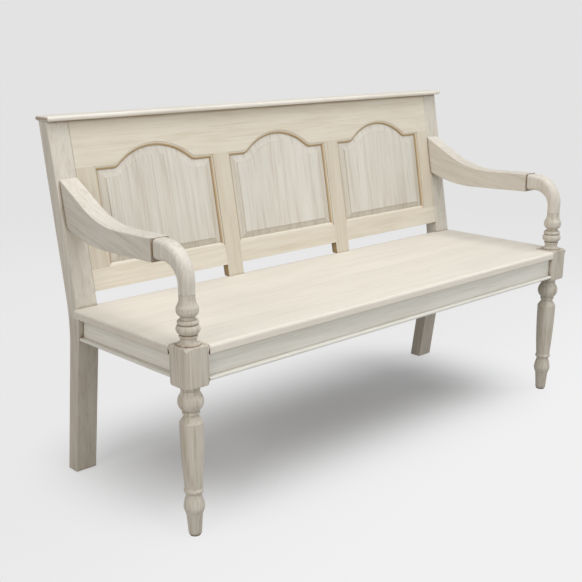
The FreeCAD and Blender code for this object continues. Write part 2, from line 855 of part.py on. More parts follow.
def height_at_post(lead, level, slope):
    """Height at which a sloping line of the arm reaches the raked front of the post.

    The line starts at a level, ahead of the post's front at seat height by the lead.
    """
    lean = math.tan(rake)
    return (level + (lead - seat_height * lean) * slope) / (1 - lean * slope)


def arm_tenon(grow=0.0):
    """Tenon of the right-hand arm in the post, square to the back's plane."""
    top_level = arm_front_top - arm_sweep_top_dip
    low_level = arm_front_bottom - arm_sweep_bottom_dip
    top = height_at_post(arm_sweep_top_lead, top_level, arm_sweep_top_slope)
    low = height_at_post(arm_sweep_bottom_lead, low_level, arm_sweep_bottom_slope)
    up = ((top + low) / 2 - seat_height) / math.cos(rake)
    half_x = arm_tenon_thickness / 2
    half_z = arm_tenon_height / 2
    return in_back(box(
        arm_back_x - half_x, arm_back_x + half_x, -past, arm_tenon_length,
        up - half_z, up + half_z, grow,
    ))


def bend_section(along):
    """Half width, half depth and corner of the bend at a share of the way from arm to leg."""
    share = along * along * (3 - 2 * along)
    width = bend_width + (2 * support_radius - bend_width) * share
    depth = bend_depth + (2 * support_radius - bend_depth) * share
    corner = bend_corner + (support_radius - bend_flat - bend_corner) * share
    return width / 2, depth / 2, corner


def arm_bend():
    """Right-hand bend from the arm's front end down to the turned support."""
    quarter = bend_radius * math.pi / 2
    drop = bend_height - bend_radius - support_top
    length = bend_straight + quarter + drop
    steps = range(bend_turns + 1)
    stations = [0.0] + [bend_straight + quarter * step / bend_turns for step in steps] + [length]
    wires = []
    for gone in stations:
        turn = min(max((gone - bend_straight) / bend_radius, 0.0), math.pi / 2)
        behind = bend_radius * (1 - math.sin(turn)) + bend_straight - min(gone, bend_straight)
        below = bend_radius * (1 - math.cos(turn)) + max(gone - bend_straight - quarter, 0.0)
        half_x, half_n, corner = bend_section(gone / length)
        normal = Vector(0, -math.sin(turn), math.cos(turn))
        centre = Vector(leg_x, leg_y + behind, bend_height - below)
        corners = [
            centre + Vector(side * half_x, 0, 0) + normal * (up * half_n)
            for side, up in ((-1, -1), (1, -1), (1, 1), (-1, 1))
        ]
        wires.append(rounded_wire(corners, [corner] * len(corners)))
    return Part.makeLoft(wires, True, False)


def leg_dowel(grow=0.0):
    """Dowel between the right-hand leg and its bend."""
    start = Vector(leg_x, leg_y, support_top - support_dowel_drop - grow)
    length = support_dowel_drop + support_dowel_rise + 2 * grow
    return Part.makeCylinder(dowel_radius + grow, length, start, Vector(0, 0, 1))


def arm_dowel(grow=0.0):
    """Dowel between the right-hand bend and the front end of its arm."""
    start = Vector(leg_x, arm_front_y - arm_dowel_bite - grow, bend_height)
    length = 2 * arm_dowel_bite + 2 * grow
    return Part.makeCylinder(dowel_radius + grow, length, start, Vector(0, 1, 0))


# Framing under the seat

def seat_bearer():
    """Bearer across the right-hand half of the seat, between the front and rear aprons."""
    low = seat_bottom - bearer_height
    half = bearer_width / 2
    middle = bearer_spacing / 2
    bar = box(middle - half, middle + half, front_apron_back_y, rear_apron_y, low, seat_bottom)
    return join_all(bar, bearer_tenons())


def bearer_tenons(grow=0.0):
    """Stub tenons of the right-hand bearer in the front and rear aprons."""
    half = bearer_width / 2 - tenon_shoulder
    middle = bearer_spacing / 2
    low = seat_bottom - bearer_height + tenon_shoulder
    high = seat_bottom - tenon_shoulder
    spans = (
        (front_apron_back_y - bearer_tenon, front_apron_back_y + past),
        (rear_apron_y - past, rear_apron_y + bearer_tenon),
    )
    return [box(middle - half, middle + half, start, end, low, high, grow) for start, end in spans]


def corner_prism(corners):
    """Corner block of a plan outline, up against the seat."""
    low = seat_bottom - corner_block_height
    points = [Vector(x, y, low) for x, y in corners]
    return Part.Face(rounded_wire(points, [0] * len(points))).extrude(Vector(0, 0, corner_block_height))


def front_block_outline():
    """Plan of the right-hand front corner block: the leg's corner, then round to the long side."""
    corner_x = leg_x - block_side / 2
    corner_y = leg_y + block_side / 2
    return [
        (corner_x, corner_y),
        (side_apron_inner_x, corner_y),
        (side_apron_inner_x, corner_y + corner_block_reach),
        (corner_x - corner_block_reach, front_apron_back_y),
        (corner_x, front_apron_back_y),
    ]


def rear_block_outline():
    """Plan of the right-hand rear corner block, which the post is cut out of."""
    return [
        (side_apron_inner_x, rear_apron_y),
        (side_apron_inner_x, post_y - corner_block_reach),
        (post_inner_x - corner_block_reach, rear_apron_y),
    ]


def rear_corner_block(post):
    """Right-hand rear corner block, notched round the post."""
    block = corner_prism(rear_block_outline())
    return max(block.cut(post).Solids, key=lambda piece: piece.Volume)


def screw(head, length):
    """Countersunk screw that points up from the middle of its head's face."""
    up = Vector(0, 0, 1)
    shank = Part.makeCylinder(screw_radius, length, head, up)
    cone = Part.makeCone(screw_head_radius, screw_radius, screw_head_height, head, up)
    return shank.fuse(cone).removeSplitter()


def block_screw(corner, first, second):
    """Screw through a corner block, midway between its inner corner and its long side."""
    x = (corner[0] + (first[0] + second[0]) / 2) / 2
    y = (corner[1] + (first[1] + second[1]) / 2) / 2
    return screw(Vector(x, y, seat_bottom - corner_block_height), corner_block_height + seat_screw_bite)


def seat_screws():
    """Screws up into the seat: one to each board from the right-hand bearer, one from each block."""
    depth = (seat_back_y - front_y) / seat_board_count
    low = seat_bottom - bearer_height
    screws = []
    for number in range(seat_board_count):
        head = Vector(bearer_spacing / 2, front_y + (number + 0.5) * depth, low)
        screws.append(screw(head, bearer_height + seat_screw_bite))
    leg_corner, _, *long_side, _ = front_block_outline()
    screws.append(block_screw(leg_corner, *long_side))
    screws.append(block_screw((post_inner_x, post_y), *rear_block_outline()[1:]))
    return screws


def main():
    """Builds every node."""
    os.makedirs("parts", exist_ok=True)
    gap = joint_clearance
    right = {}
    middle = {}

    post = post_blank()
    leg = leg_blank()
    arm = arm_blank()
    bend = arm_bend()
    openings = [opening_cutter(x) for x in bay_x.values()]

    leg_cuts = [front_tenon(gap), side_front_tenon(gap), leg_dowel(gap)]
    post_cuts = [side_rear_tenon(gap), rear_tenon(gap), arm_tenon(gap), in_back(top_rail_tenon(gap))]
    post_cuts.append(in_back(bottom_rail_tenons("right", gap)[1]))
    post_cuts.append(cap_dowels(gap)[-1])
    screws = seat_screws()

    right["rear_post"] = [cut_all(post, post_cuts)]
    right["front_leg"] = [cut_all(leg, leg_cuts)]
    right["arm"] = [arm.cut(arm_dowel(gap))]
    right["arm_bend"] = [cut_all(bend, [leg_dowel(gap), arm_dowel(gap)])]
    right["side_apron"] = [side_apron(post)]
    right["side_bead"] = [side_bead(post)]
    right["seat_bearer"] = [cut_all(seat_bearer(), screws)]
    right["corner_block_front"] = [cut_all(corner_prism(front_block_outline()), screws)]
    right["corner_block_rear"] = [cut_all(rear_corner_block(post), screws)]
    right["front_glide"] = [Part.makeCylinder(glide_radius, glide_thickness, Vector(leg_x, leg_y, 0))]
    foot = Vector(post_middle_x, post_y + post_splay + post_foot_thickness / 2, 0)
    right["rear_glide"] = [Part.makeCylinder(glide_radius, glide_thickness, foot)]
    right["support_dowel"] = [leg_dowel()]
    right["arm_dowel"] = [arm_dowel()]

    both_bearer_tenons = bearer_tenons(gap) + [mirrored(cutter) for cutter in bearer_tenons(gap)]
    middle["front_apron"] = [cut_all(front_apron(), both_bearer_tenons)]
    middle["rear_apron"] = [cut_all(rear_apron(), both_bearer_tenons)]
    middle["front_bead"] = [front_bead()]
    middle["cap_rail"] = [cut_all(cap_rail(), cap_dowels(gap))]
    middle["cap_dowels"] = cap_dowels()
    middle["top_rail"] = [cut_all(top_rail(openings), cap_dowels(gap))]
    stile_left, muntin_left, muntin_right, stile_right = upright_x()
    middle["stile_left"] = [stile(stile_left, openings)]
    middle["stile_right"] = [stile(stile_right, openings)]
    middle["muntin_left"] = [muntin(muntin_left, openings)]
    middle["muntin_right"] = [muntin(muntin_right, openings)]
    for bay, x in bay_x.items():
        middle["bottom_rail_" + bay] = [bottom_rail(bay, openings)]
        middle["back_panel_" + bay] = [back_panel(x)]
    all_screws = screws + [mirrored(piece) for piece in screws]
    seat_holes = all_screws + [muntin_seat_tenon(x, gap) for x in (muntin_left, muntin_right)]
    for number, board in enumerate(seat_boards(seat_slab(post)), start=1):
        middle["seat_board_" + str(number)] = [cut_all(board, seat_holes)]
    middle["seat_screws"] = all_screws

    for name, solids in middle.items():
        save(name, solids)
    for name, solids in right.items():
        save(name + "_right", solids)
        save(name + "_left", [mirrored(solid) for solid in solids])


main()
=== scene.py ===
"""Looks of a deacon's bench in limed timber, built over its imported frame.

Lengths in the classes are millimetres and become metres where a mesh is made. The bench stands on
the floor at z = 0, runs along x, and its front faces -y.
"""

import json
import logging
import math
from dataclasses import dataclass, field, replace
from enum import Enum
from functools import partial

import bmesh
import bpy
from mathutils import Matrix, Vector


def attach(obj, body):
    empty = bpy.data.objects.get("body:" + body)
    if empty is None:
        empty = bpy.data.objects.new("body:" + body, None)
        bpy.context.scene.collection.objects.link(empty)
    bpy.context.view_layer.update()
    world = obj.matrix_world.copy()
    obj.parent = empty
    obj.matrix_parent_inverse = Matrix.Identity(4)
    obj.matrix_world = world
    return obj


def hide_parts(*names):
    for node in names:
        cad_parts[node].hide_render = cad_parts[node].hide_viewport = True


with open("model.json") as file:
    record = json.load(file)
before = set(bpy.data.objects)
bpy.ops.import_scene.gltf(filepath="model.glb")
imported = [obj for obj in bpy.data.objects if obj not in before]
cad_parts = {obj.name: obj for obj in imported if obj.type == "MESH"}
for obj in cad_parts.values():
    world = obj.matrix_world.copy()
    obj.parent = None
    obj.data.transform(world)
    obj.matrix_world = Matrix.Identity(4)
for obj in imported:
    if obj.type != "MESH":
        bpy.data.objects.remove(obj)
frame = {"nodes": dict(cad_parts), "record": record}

Colour = tuple[float, float, float]
Row = tuple[float, float, float]
Pair = tuple[float, float]
Socket = bpy.types.NodeSocket

MM = 0.001
RAKE = math.radians(10.34)
BACK_FACE = (0.0, -math.cos(RAKE), math.sin(RAKE))
ALONG = (1.0, 0.0, 0.0)
UP = (0.0, 0.0, 1.0)
SIDES = ("left", "right")
BAYS = ("left", "centre", "right")
BOARDS = ("1", "2", "3", "4")
LEG_X = 700.0
LEG_Y = -251.263
CREASE = 32.0
LEG_SEED = 40
ARM_SEED = 50
ARM_SEED_STEP = 10
log = logging.getLogger("bench")


def tone(red: int, green: int, blue: int) -> Colour:
    """Linear colour of a display colour given in 0 to 255.

    Args:
        red: Red, 0 to 255.
        green: Green, 0 to 255.
        blue: Blue, 0 to 255.

    Returns:
        The linear colour.
    """
    def linear(level: int) -> float:
        """Linear value of one channel."""
        share = level / 255
        return share / 12.92 if share <= 0.04045 else ((share + 0.055) / 1.055) ** 2.4

    return linear(red), linear(green), linear(blue)


def add_node(tree: bpy.types.NodeTree, kind: str, values: dict, **settings: object) -> bpy.types.Node:
    """Adds a node with its inputs joined or set.

    Args:
        tree: The tree that takes the node.
        kind: The node's type.
        values: Sockets or numbers for its inputs, by name or by place.
        **settings: The node's own properties.

    Returns:
        The node.
    """
    node = tree.nodes.new(kind)
    for setting, value in settings.items():
        setattr(node, setting, value)
    for key, value in values.items():
        if isinstance(value, Socket):
            tree.links.new(value, node.inputs[key])
        else:
            node.inputs[key].default_value = value
    return node


class Grain(Enum):
    """Direction along which a piece's grain runs."""

    LENGTHWISE = (1.0, 0.0, 0.0)
    UPRIGHT = (0.0, 0.0, 1.0)
    UP_THE_BACK = (0.0, math.sin(RAKE), math.cos(RAKE))
    FRONT_TO_BACK = (0.0, 1.0, 0.0)
    ALONG_ARM = (0.0, 0.97, 0.24)

    def turn(self) -> tuple[float, float, float]:
        """Angles that turn the x axis onto the grain."""
        across = Vector(ALONG).rotation_difference(Vector(self.value))
        return tuple(across.to_euler("XYZ"))


class Sheet:
    """Short hand for one material's nodes."""

    occlusion_samples: int = 8
    noise_roughness: float = 0.55

    def __init__(self, name: str) -> None:
        """Starts an empty node material.

        Args:
            name: The material's name.
        """
        self.material = bpy.data.materials.new(name)
        self.material.use_nodes = True
        self.tree = self.material.node_tree
        self.tree.nodes.clear()

    def add(self, kind: str, values: dict, **settings: object) -> bpy.types.Node:
        """Adds a shader node, whose kind is named without the ShaderNode prefix."""
        return add_node(self.tree, "ShaderNode" + kind, values, **settings)

    def math(self, operation: str, *values: object) -> Socket:
        """Result of a sum on sockets or numbers."""
        return self.add("Math", dict(enumerate(values)), operation=operation).outputs[0]

    def weighed(self, first: Socket, second: Socket, shares: Pair) -> Socket:
        """Sum of two values, each times its share."""
        return self.math("ADD", *(self.math("MULTIPLY", *each) for each in zip((first, second), shares)))

    def vector(self, operation: str, first: object, second: object = None) -> Socket:
        """Vector arithmetic.

        Args:
            operation: Operation of the vector math node.
            first: First value or socket.
            second: Second value or socket, if the operation takes one.

        Returns:
            The number of a length or a dot product, otherwise the vector.
        """
        values = {0: first} if second is None else {0: first, 1: second}
        outputs = self.add("VectorMath", values, operation=operation).outputs
        return outputs["Value" if operation in ("LENGTH", "DOT_PRODUCT") else "Vector"]

    def noise(self, vector: Socket, scale: Colour, detail: float) -> Socket:
        """Noise whose scale along each axis is in waves to the metre.

        Args:
            vector: Where it is read.
            scale: Waves to the metre along each axis.
            detail: Octaves.

        Returns:
            The noise, about 0.5 on average.
        """
        values = {
            "Vector": self.vector("MULTIPLY", vector, scale), "Scale": 1.0, "Detail": detail,
            "Roughness": self.noise_roughness,
        }
        return self.add("TexNoise", values).outputs["Fac"]

    def openness(self, reach: float, inside: bool = False) -> Socket:
        """Share of open space round a point.

        Args:
            reach: How far it looks, in millimetres.
            inside: Whether it looks into the piece, where arrises show, and not out of it.

        Returns:
            The share, one in the open.
        """
        values = {"Distance": reach * MM}
        node = self.add("AmbientOcclusion", values, samples=self.occlusion_samples, inside=inside)
        return node.outputs["AO"]

    def spread(self, value: object, low: float, high: float, start: float = 0.0,
               end: float = 1.0) -> Socket:
        """Value eased from the range low..high to start..end.

        Args:
            value: The socket to spread.
            low: Value that gives start.
            high: Value that gives end.
            start: Lowest result.
            end: Highest result.

        Returns:
            The eased value.
        """
        values = {"Value": value, "From Min": low, "From Max": high, "To Min": start, "To Max": end}
        node = self.add("MapRange", values, interpolation_type="SMOOTHSTEP", clamp=True)
        return node.outputs["Result"]

    def blend(self, factor: object, first: object, second: object, mode: str = "MIX") -> Socket:
        """Mix of two colours.

        Args:
            factor: Share of the second.
            first: First colour or socket.
            second: Second colour or socket.
            mode: Blend mode.

        Returns:
            The mixed colour.
        """
        def rgba(colour: object) -> object:
            """Colour with an alpha of one, or the socket itself."""
            return (*colour, 1.0) if isinstance(colour, tuple) else colour

        values = {0: factor, 6: rgba(first), 7: rgba(second)}
        node = self.add("Mix", values, data_type="RGBA", blend_type=mode, clamp_factor=True)
        return node.outputs[2]

    def close(self, shader: Socket) -> bpy.types.Material:
        """Joins the shader to the output and returns the material."""
        self.add("OutputMaterial", {"Surface": shader})
        return self.material


class Band(Enum):
    """Noise of the timber: waves to the metre along the grain, waves across it, and octaves."""

    TINT = (0.9, 5.0, 2.0)
    BROAD = (1.2, 22.0, 3.0)
    CLOUD = (5.0, 9.0, 3.0)
    COARSE = (3.0, 75.0, 3.0)
    MEDIUM = (8.0, 210.0, 4.0)
    FINE = (24.0, 760.0, 3.0)
    PORE = (38.0, 1150.0, 2.0)

    def read(self, sheet: Sheet, along: Socket) -> Socket:
        """Noise of this band, read along the grain."""
        lengthwise, across, octaves = self.value
        return sheet.noise(along, (lengthwise, across, across), octaves)


@dataclass(frozen=True)
class Cut:
    """Where in the timber a piece is cut, which gives each piece a figure of its own."""

    step: float = 3.71
    radius: float = 0.173
    turn: float = 2.4

    def place(self, seed: int) -> Colour:
        """Offset of the piece with this seed, in metres."""
        around = seed * self.turn
        return self.step * seed, self.radius * math.cos(around), self.radius * math.sin(around)


@dataclass(frozen=True)
class LimedTimber:
    """Limed timber: pale wood with figure, streaks and pores, whitewash, paler arrises that are worn wash
    and painted highlight, and brown in its recesses and mouldings that is glaze and painted shade.

    A span holds the two readings of a noise, a direction or a height between which an effect sets
    in. Reaches are millimetres, and most other numbers are shares of an effect.
    """

    name: str
    timber: Colour
    streak: Colour
    wash: Colour
    # Brown of the glaze, which also paints shade in recesses and creases.
    glaze_and_shade: Colour = tone(150, 122, 84)
    figure: float = 0.2
    figure_span: Pair = (0.2, 0.95)
    cover: float = 0.5
    cover_shares: Pair = (0.6, 0.4)
    cover_span: Pair = (0.28, 0.70)
    streaks: float = 0.5
    streak_shares: Pair = (0.45, 0.55)
    streak_span: Pair = (0.46, 0.66)
    pale_span: Pair = (0.50, 0.36)
    fine: float = 0.22
    fine_span: Pair = (0.50, 0.74)
    pores: float = 0.35
    pore_span: Pair = (0.60, 0.72)
    tint: Pair = (0.97, 1.02)
    tint_span: Pair = (0.35, 0.65)
    # Arrises go paler towards the wash: worn wash and a painted highlight along the edges.
    wear: float = 0.25
    wear_and_highlight_reach: float = 1.6
    wear_and_highlight_span: Pair = (0.75, 0.35)
    # Recesses go brown by occlusion: glaze and painted shade together.
    recess_glaze_and_shade: float = 0.8
    recess_reach: float = 16.0
    recess_span: Pair = (0.82, 0.30)
    ragged: Pair = (0.75, 1.1)
    # Thin brown lines where pieces meet and in creases: dark joints and painted contact shade.
    line: float = 0.8
    line_reach: float = 3.5
    line_start: float = 0.70
    line_full: float = 0.35
    end_grain: float = 0.6
    end_span: Pair = (0.70, 0.98)
    # Browner below a height, about the seat's underside.
    low_darkening: float = 0.0
    low_darkening_span: Pair = (0.45, 0.41)
    # Painted shade, tinted brown like glaze, on moulding faces that slope and turn down or sideways from
    # the light.
    moulding_shade: float = 0.0
    moulding_shade_tint: Colour = tone(214, 193, 158)
    moulding_shade_slope: Pair = (0.99, 0.92)
    turned_away_span: Pair = (0.36, 0.1)
    relief_shares: Pair = (0.7, 0.5)
    pit: float = 0.5
    pit_span: Pair = (0.60, 0.70)
    bump: float = 0.35
    bump_height: float = 0.5
    roughness: Pair = (0.48, 0.64)
    specular: float = 0.35
    middle: Pair = (0.3, 0.7)

    def limed(self, sheet: Sheet, along: Socket, medium: Socket, fine: Socket, pore: Socket) -> Socket:
        """Colour of the washed timber.

        Args:
            sheet: The material's nodes.
            along: Place in the timber, with x along the grain.
            medium: Medium band of the noise.
            fine: Fine band.
            pore: Band of the pores.

        Returns:
            The colour.
        """
        rings = sheet.add("TexWave", {
            "Vector": sheet.vector("MULTIPLY", along, (0.35, 1.0, 1.0)), "Scale": 11.0,
            "Distortion": 7.0, "Detail": 3.0, "Detail Scale": 1.1, "Detail Roughness": 0.6,
        }, wave_type="RINGS", rings_direction="X").outputs["Fac"]
        figure = sheet.math("MULTIPLY", sheet.spread(rings, *self.figure_span), self.figure)
        colour = sheet.blend(figure, self.timber, self.streak)
        broad, cloud = Band.BROAD.read(sheet, along), Band.CLOUD.read(sheet, along)
        body = sheet.weighed(broad, cloud, self.cover_shares)
        wash = sheet.math("MULTIPLY", sheet.spread(body, *self.cover_span), self.cover)
        colour = sheet.blend(wash, colour, self.wash)
        grown = sheet.weighed(Band.COARSE.read(sheet, along), medium, self.streak_shares)
        streak = sheet.math("MULTIPLY", sheet.spread(grown, *self.streak_span), self.streaks)
        colour = sheet.blend(streak, colour, self.streak)
        pale = sheet.math("MULTIPLY", sheet.spread(grown, *self.pale_span), self.streaks / 2)
        colour = sheet.blend(pale, colour, self.wash)
        colour = sheet.blend(sheet.spread(fine, *self.fine_span, 0.0, self.fine), colour, self.streak)
        colour = sheet.blend(sheet.spread(pore, *self.pore_span, 0.0, self.pores), colour, self.wash)
        tint = sheet.spread(Band.TINT.read(sheet, along), *self.tint_span, *self.tint)
        return sheet.add("HueSaturation", {"Color": colour, "Value": tint}).outputs["Color"]

    def glazed_and_shaded(self, sheet: Sheet, place: Socket, grain: Grain, colour: Socket, medium: Socket) -> Socket:
        """Colour with paler arrises that are worn wash and painted highlight, brown glaze and painted
        shade in recesses and creases, painted shade on moulding faces that turn from the light, brown end
        grain, and darker brown below a height.

        Args:
            sheet: The material's nodes.
            place: Place on the bench, in metres.
            grain: Direction of the piece's grain.
            colour: Colour of the washed timber.
            medium: Medium band of the noise.

        Returns:
            The colour.
        """
        # Painted highlight with worn wash: the arrises are painted paler.
        arris = sheet.openness(self.wear_and_highlight_reach, inside=True)
        colour = sheet.blend(sheet.spread(arris, *self.wear_and_highlight_span, 0.0, self.wear), colour, self.wash)
        # Painted shade with glaze: recesses within the reach go brown.
        brown = sheet.blend(1.0, colour, self.glaze_and_shade, "MULTIPLY")
        ragged = sheet.math("MULTIPLY", sheet.spread(medium, *self.middle, *self.ragged), self.recess_glaze_and_shade)
        wide = sheet.spread(sheet.openness(self.recess_reach), *self.recess_span)
        colour = sheet.blend(sheet.math("MULTIPLY", wide, ragged), colour, brown)
        # Painted contact shade with dark joints: tight creases go brown.
        tight = sheet.openness(self.line_reach)
        line = sheet.spread(tight, self.line_start, self.line_full, 0.0, self.line)
        colour = sheet.blend(line, colour, brown)
        normal = sheet.add("NewGeometry", {}).outputs["Normal"]
        turned = sheet.add("Mapping", {"Vector": normal, "Rotation": grain.turn()}, vector_type="TEXTURE")
        endwise = sheet.math("ABSOLUTE", sheet.vector("DOT_PRODUCT", turned.outputs["Vector"], ALONG))
        colour = sheet.blend(sheet.spread(endwise, *self.end_span, 0.0, self.end_grain), colour, brown)
        # Darker brown below a height.
        if self.low_darkening:
            height = sheet.vector("DOT_PRODUCT", place, UP)
            darker_low = sheet.spread(height, *self.low_darkening_span, 0.0, self.low_darkening)
            colour = sheet.blend(darker_low, colour, brown)
        # Painted shade: sloping faces of mouldings that don't face up are tinted brown.
        if self.moulding_shade:
            flat = sheet.math("ABSOLUTE", sheet.vector("DOT_PRODUCT", normal, BACK_FACE))
            turned_away = sheet.spread(sheet.vector("DOT_PRODUCT", normal, UP), *self.turned_away_span)
            edge = sheet.math("MULTIPLY", sheet.spread(flat, *self.moulding_shade_slope), turned_away)
            moulding_shaded = sheet.blend(1.0, colour, self.moulding_shade_tint, "MULTIPLY")
            colour = sheet.blend(sheet.math("MULTIPLY", edge, self.moulding_shade), colour, moulding_shaded)
        return colour

    def material(self, grain: Grain, seed: int) -> bpy.types.Material:
        """Builds the material for one piece.

        Args:
            grain: Direction of the piece's grain.
            seed: Number that picks the part of the timber that the piece is cut from.

        Returns:
            The material.
        """
        sheet = Sheet(f"{self.name}.{seed:02d}")
        place = sheet.add("TexCoord", {}).outputs["Object"]
        mapping = {"Vector": place, "Location": Cut().place(seed), "Rotation": grain.turn()}
        along = sheet.add("Mapping", mapping, vector_type="TEXTURE").outputs["Vector"]
        medium, fine, pore = (band.read(sheet, along) for band in (Band.MEDIUM, Band.FINE, Band.PORE))
        colour = self.limed(sheet, along, medium, fine, pore)
        colour = self.glazed_and_shaded(sheet, place, grain, colour, medium)
        pits = sheet.spread(pore, *self.pit_span, 0.0, self.pit)
        relief = sheet.math("SUBTRACT", sheet.weighed(fine, medium, self.relief_shares), pits)
        values = {"Height": relief, "Strength": self.bump, "Distance": self.bump_height * MM}
        shader = sheet.add("BsdfPrincipled", {
            "Base Color": colour, "Roughness": sheet.spread(medium, *self.middle, *self.roughness),
            "Normal": sheet.add("Bump", values).outputs["Normal"], "Specular IOR Level": self.specular,
        })
        return sheet.close(shader.outputs["BSDF"])


@dataclass(frozen=True)
class Steel:
    """Zinc-plated steel of the screws."""

    name: str = "screw_steel"
    colour: Colour = tone(176, 174, 166)
    dull: Colour = tone(120, 112, 96)
    waves: Colour = (900.0, 900.0, 900.0)
    dulled: float = 0.5
    dulled_span: Pair = (0.4, 0.7)
    roughness: Pair = (0.28, 0.5)
    rough_span: Pair = (0.3, 0.7)

    def material(self) -> bpy.types.Material:
        """Builds the brushed metal.

        Returns:
            The material.
        """
        sheet = Sheet(self.name)
        place = sheet.add("TexCoord", {}).outputs["Object"]
        wear = sheet.noise(place, self.waves, 3.0)
        dulled = sheet.spread(wear, *self.dulled_span, 0.0, self.dulled)
        colour = sheet.blend(dulled, self.colour, self.dull)
        rough = sheet.spread(wear, *self.rough_span, *self.roughness)
        shader = sheet.add("BsdfPrincipled", {"Base Color": colour, "Roughness": rough, "Metallic": 1.0})
        return sheet.close(shader.outputs["BSDF"])


@dataclass(frozen=True)
class Nylon:
    """Brown nylon of the glides."""

    name: str = "glide_nylon"
    colour: Colour = tone(92, 78, 62)
    scuffed: Colour = tone(150, 138, 120)
    waves: Colour = (420.0, 420.0, 420.0)
    scuffs: float = 0.4
    scuff_span: Pair = (0.45, 0.75)
    roughness: float = 0.5
    bump: float = 0.3
    bump_height: float = 0.3

    def material(self) -> bpy.types.Material:
        """Builds the scuffed plastic.

        Returns:
            The material.
        """
        sheet = Sheet(self.name)
        place = sheet.add("TexCoord", {}).outputs["Object"]
        noise = sheet.noise(place, self.waves, 4.0)
        scuffs = sheet.spread(noise, *self.scuff_span, 0.0, self.scuffs)
        values = {"Height": noise, "Strength": self.bump, "Distance": self.bump_height * MM}
        shader = sheet.add("BsdfPrincipled", {
            "Base Color": sheet.blend(scuffs, self.colour, self.scuffed), "Roughness": self.roughness,
            "Normal": sheet.add("Bump", values).outputs["Normal"],
        })
        return sheet.close(shader.outputs["BSDF"])


# Rails, stiles and panels carry painted shade on their mouldings.
RAIL = LimedTimber(
    "rail_limed", tone(213, 204, 187), tone(197, 184, 162), tone(222, 216, 203),
    figure=0.15, cover=0.55, moulding_shade=1.0,
)
STILE = LimedTimber(
    "stile_limed", tone(203, 193, 175), tone(186, 173, 151), tone(211, 205, 191),
    figure=0.15, cover=0.55, moulding_shade=1.0,
)
CAP = LimedTimber(
    "cap_limed", tone(218, 212, 201), tone(198, 189, 172), tone(232, 229, 222),
    figure=0.12, cover=0.6,
)
PANEL = LimedTimber(
    "panel_limed", tone(204, 198, 187), tone(182, 172, 158), tone(215, 212, 204),
    figure=0.12, streaks=0.6, cover=0.7, recess_glaze_and_shade=0.55, moulding_shade=0.45,
    moulding_shade_tint=tone(226, 216, 200), moulding_shade_slope=(0.998, 0.986),
)
SEAT = LimedTimber(
    "seat_limed", tone(221, 215, 204), tone(205, 197, 184), tone(227, 222, 212),
    figure=0.1, streaks=0.38, cover=0.6, end_grain=0.15,
)
APRON = LimedTimber(
    "apron_limed", tone(222, 220, 211), tone(204, 198, 187), tone(231, 230, 224),
    figure=0.12, streaks=0.5, cover=0.7, recess_glaze_and_shade=0.25,
)
# Posts go darker brown below the seat's underside.
POST = LimedTimber(
    "post_limed", tone(205, 198, 186), tone(182, 172, 157), tone(219, 215, 206),
    figure=0.12, streaks=0.5, cover=0.6, low_darkening=0.2,
)
TURNED = LimedTimber(
    "turned_limed", tone(195, 187, 174), tone(162, 150, 131), tone(211, 206, 196),
    figure=0.12, streaks=0.65, cover=0.6, line=0.7, line_reach=6.0, line_start=0.9, end_grain=0.15,
)
ARM = LimedTimber(
    "arm_limed", tone(206, 199, 188), tone(180, 170, 155), tone(220, 216, 207),
    figure=0.12, streaks=0.5, cover=0.65,
)
BENT = replace(ARM, name="bent_limed", end_grain=0.0)
PLAIN = LimedTimber(
    "plain_timber", tone(206, 184, 146), tone(180, 152, 112), tone(214, 198, 168),
    figure=0.35, cover=0.3, recess_glaze_and_shade=0.3, end_grain=0.3,
)


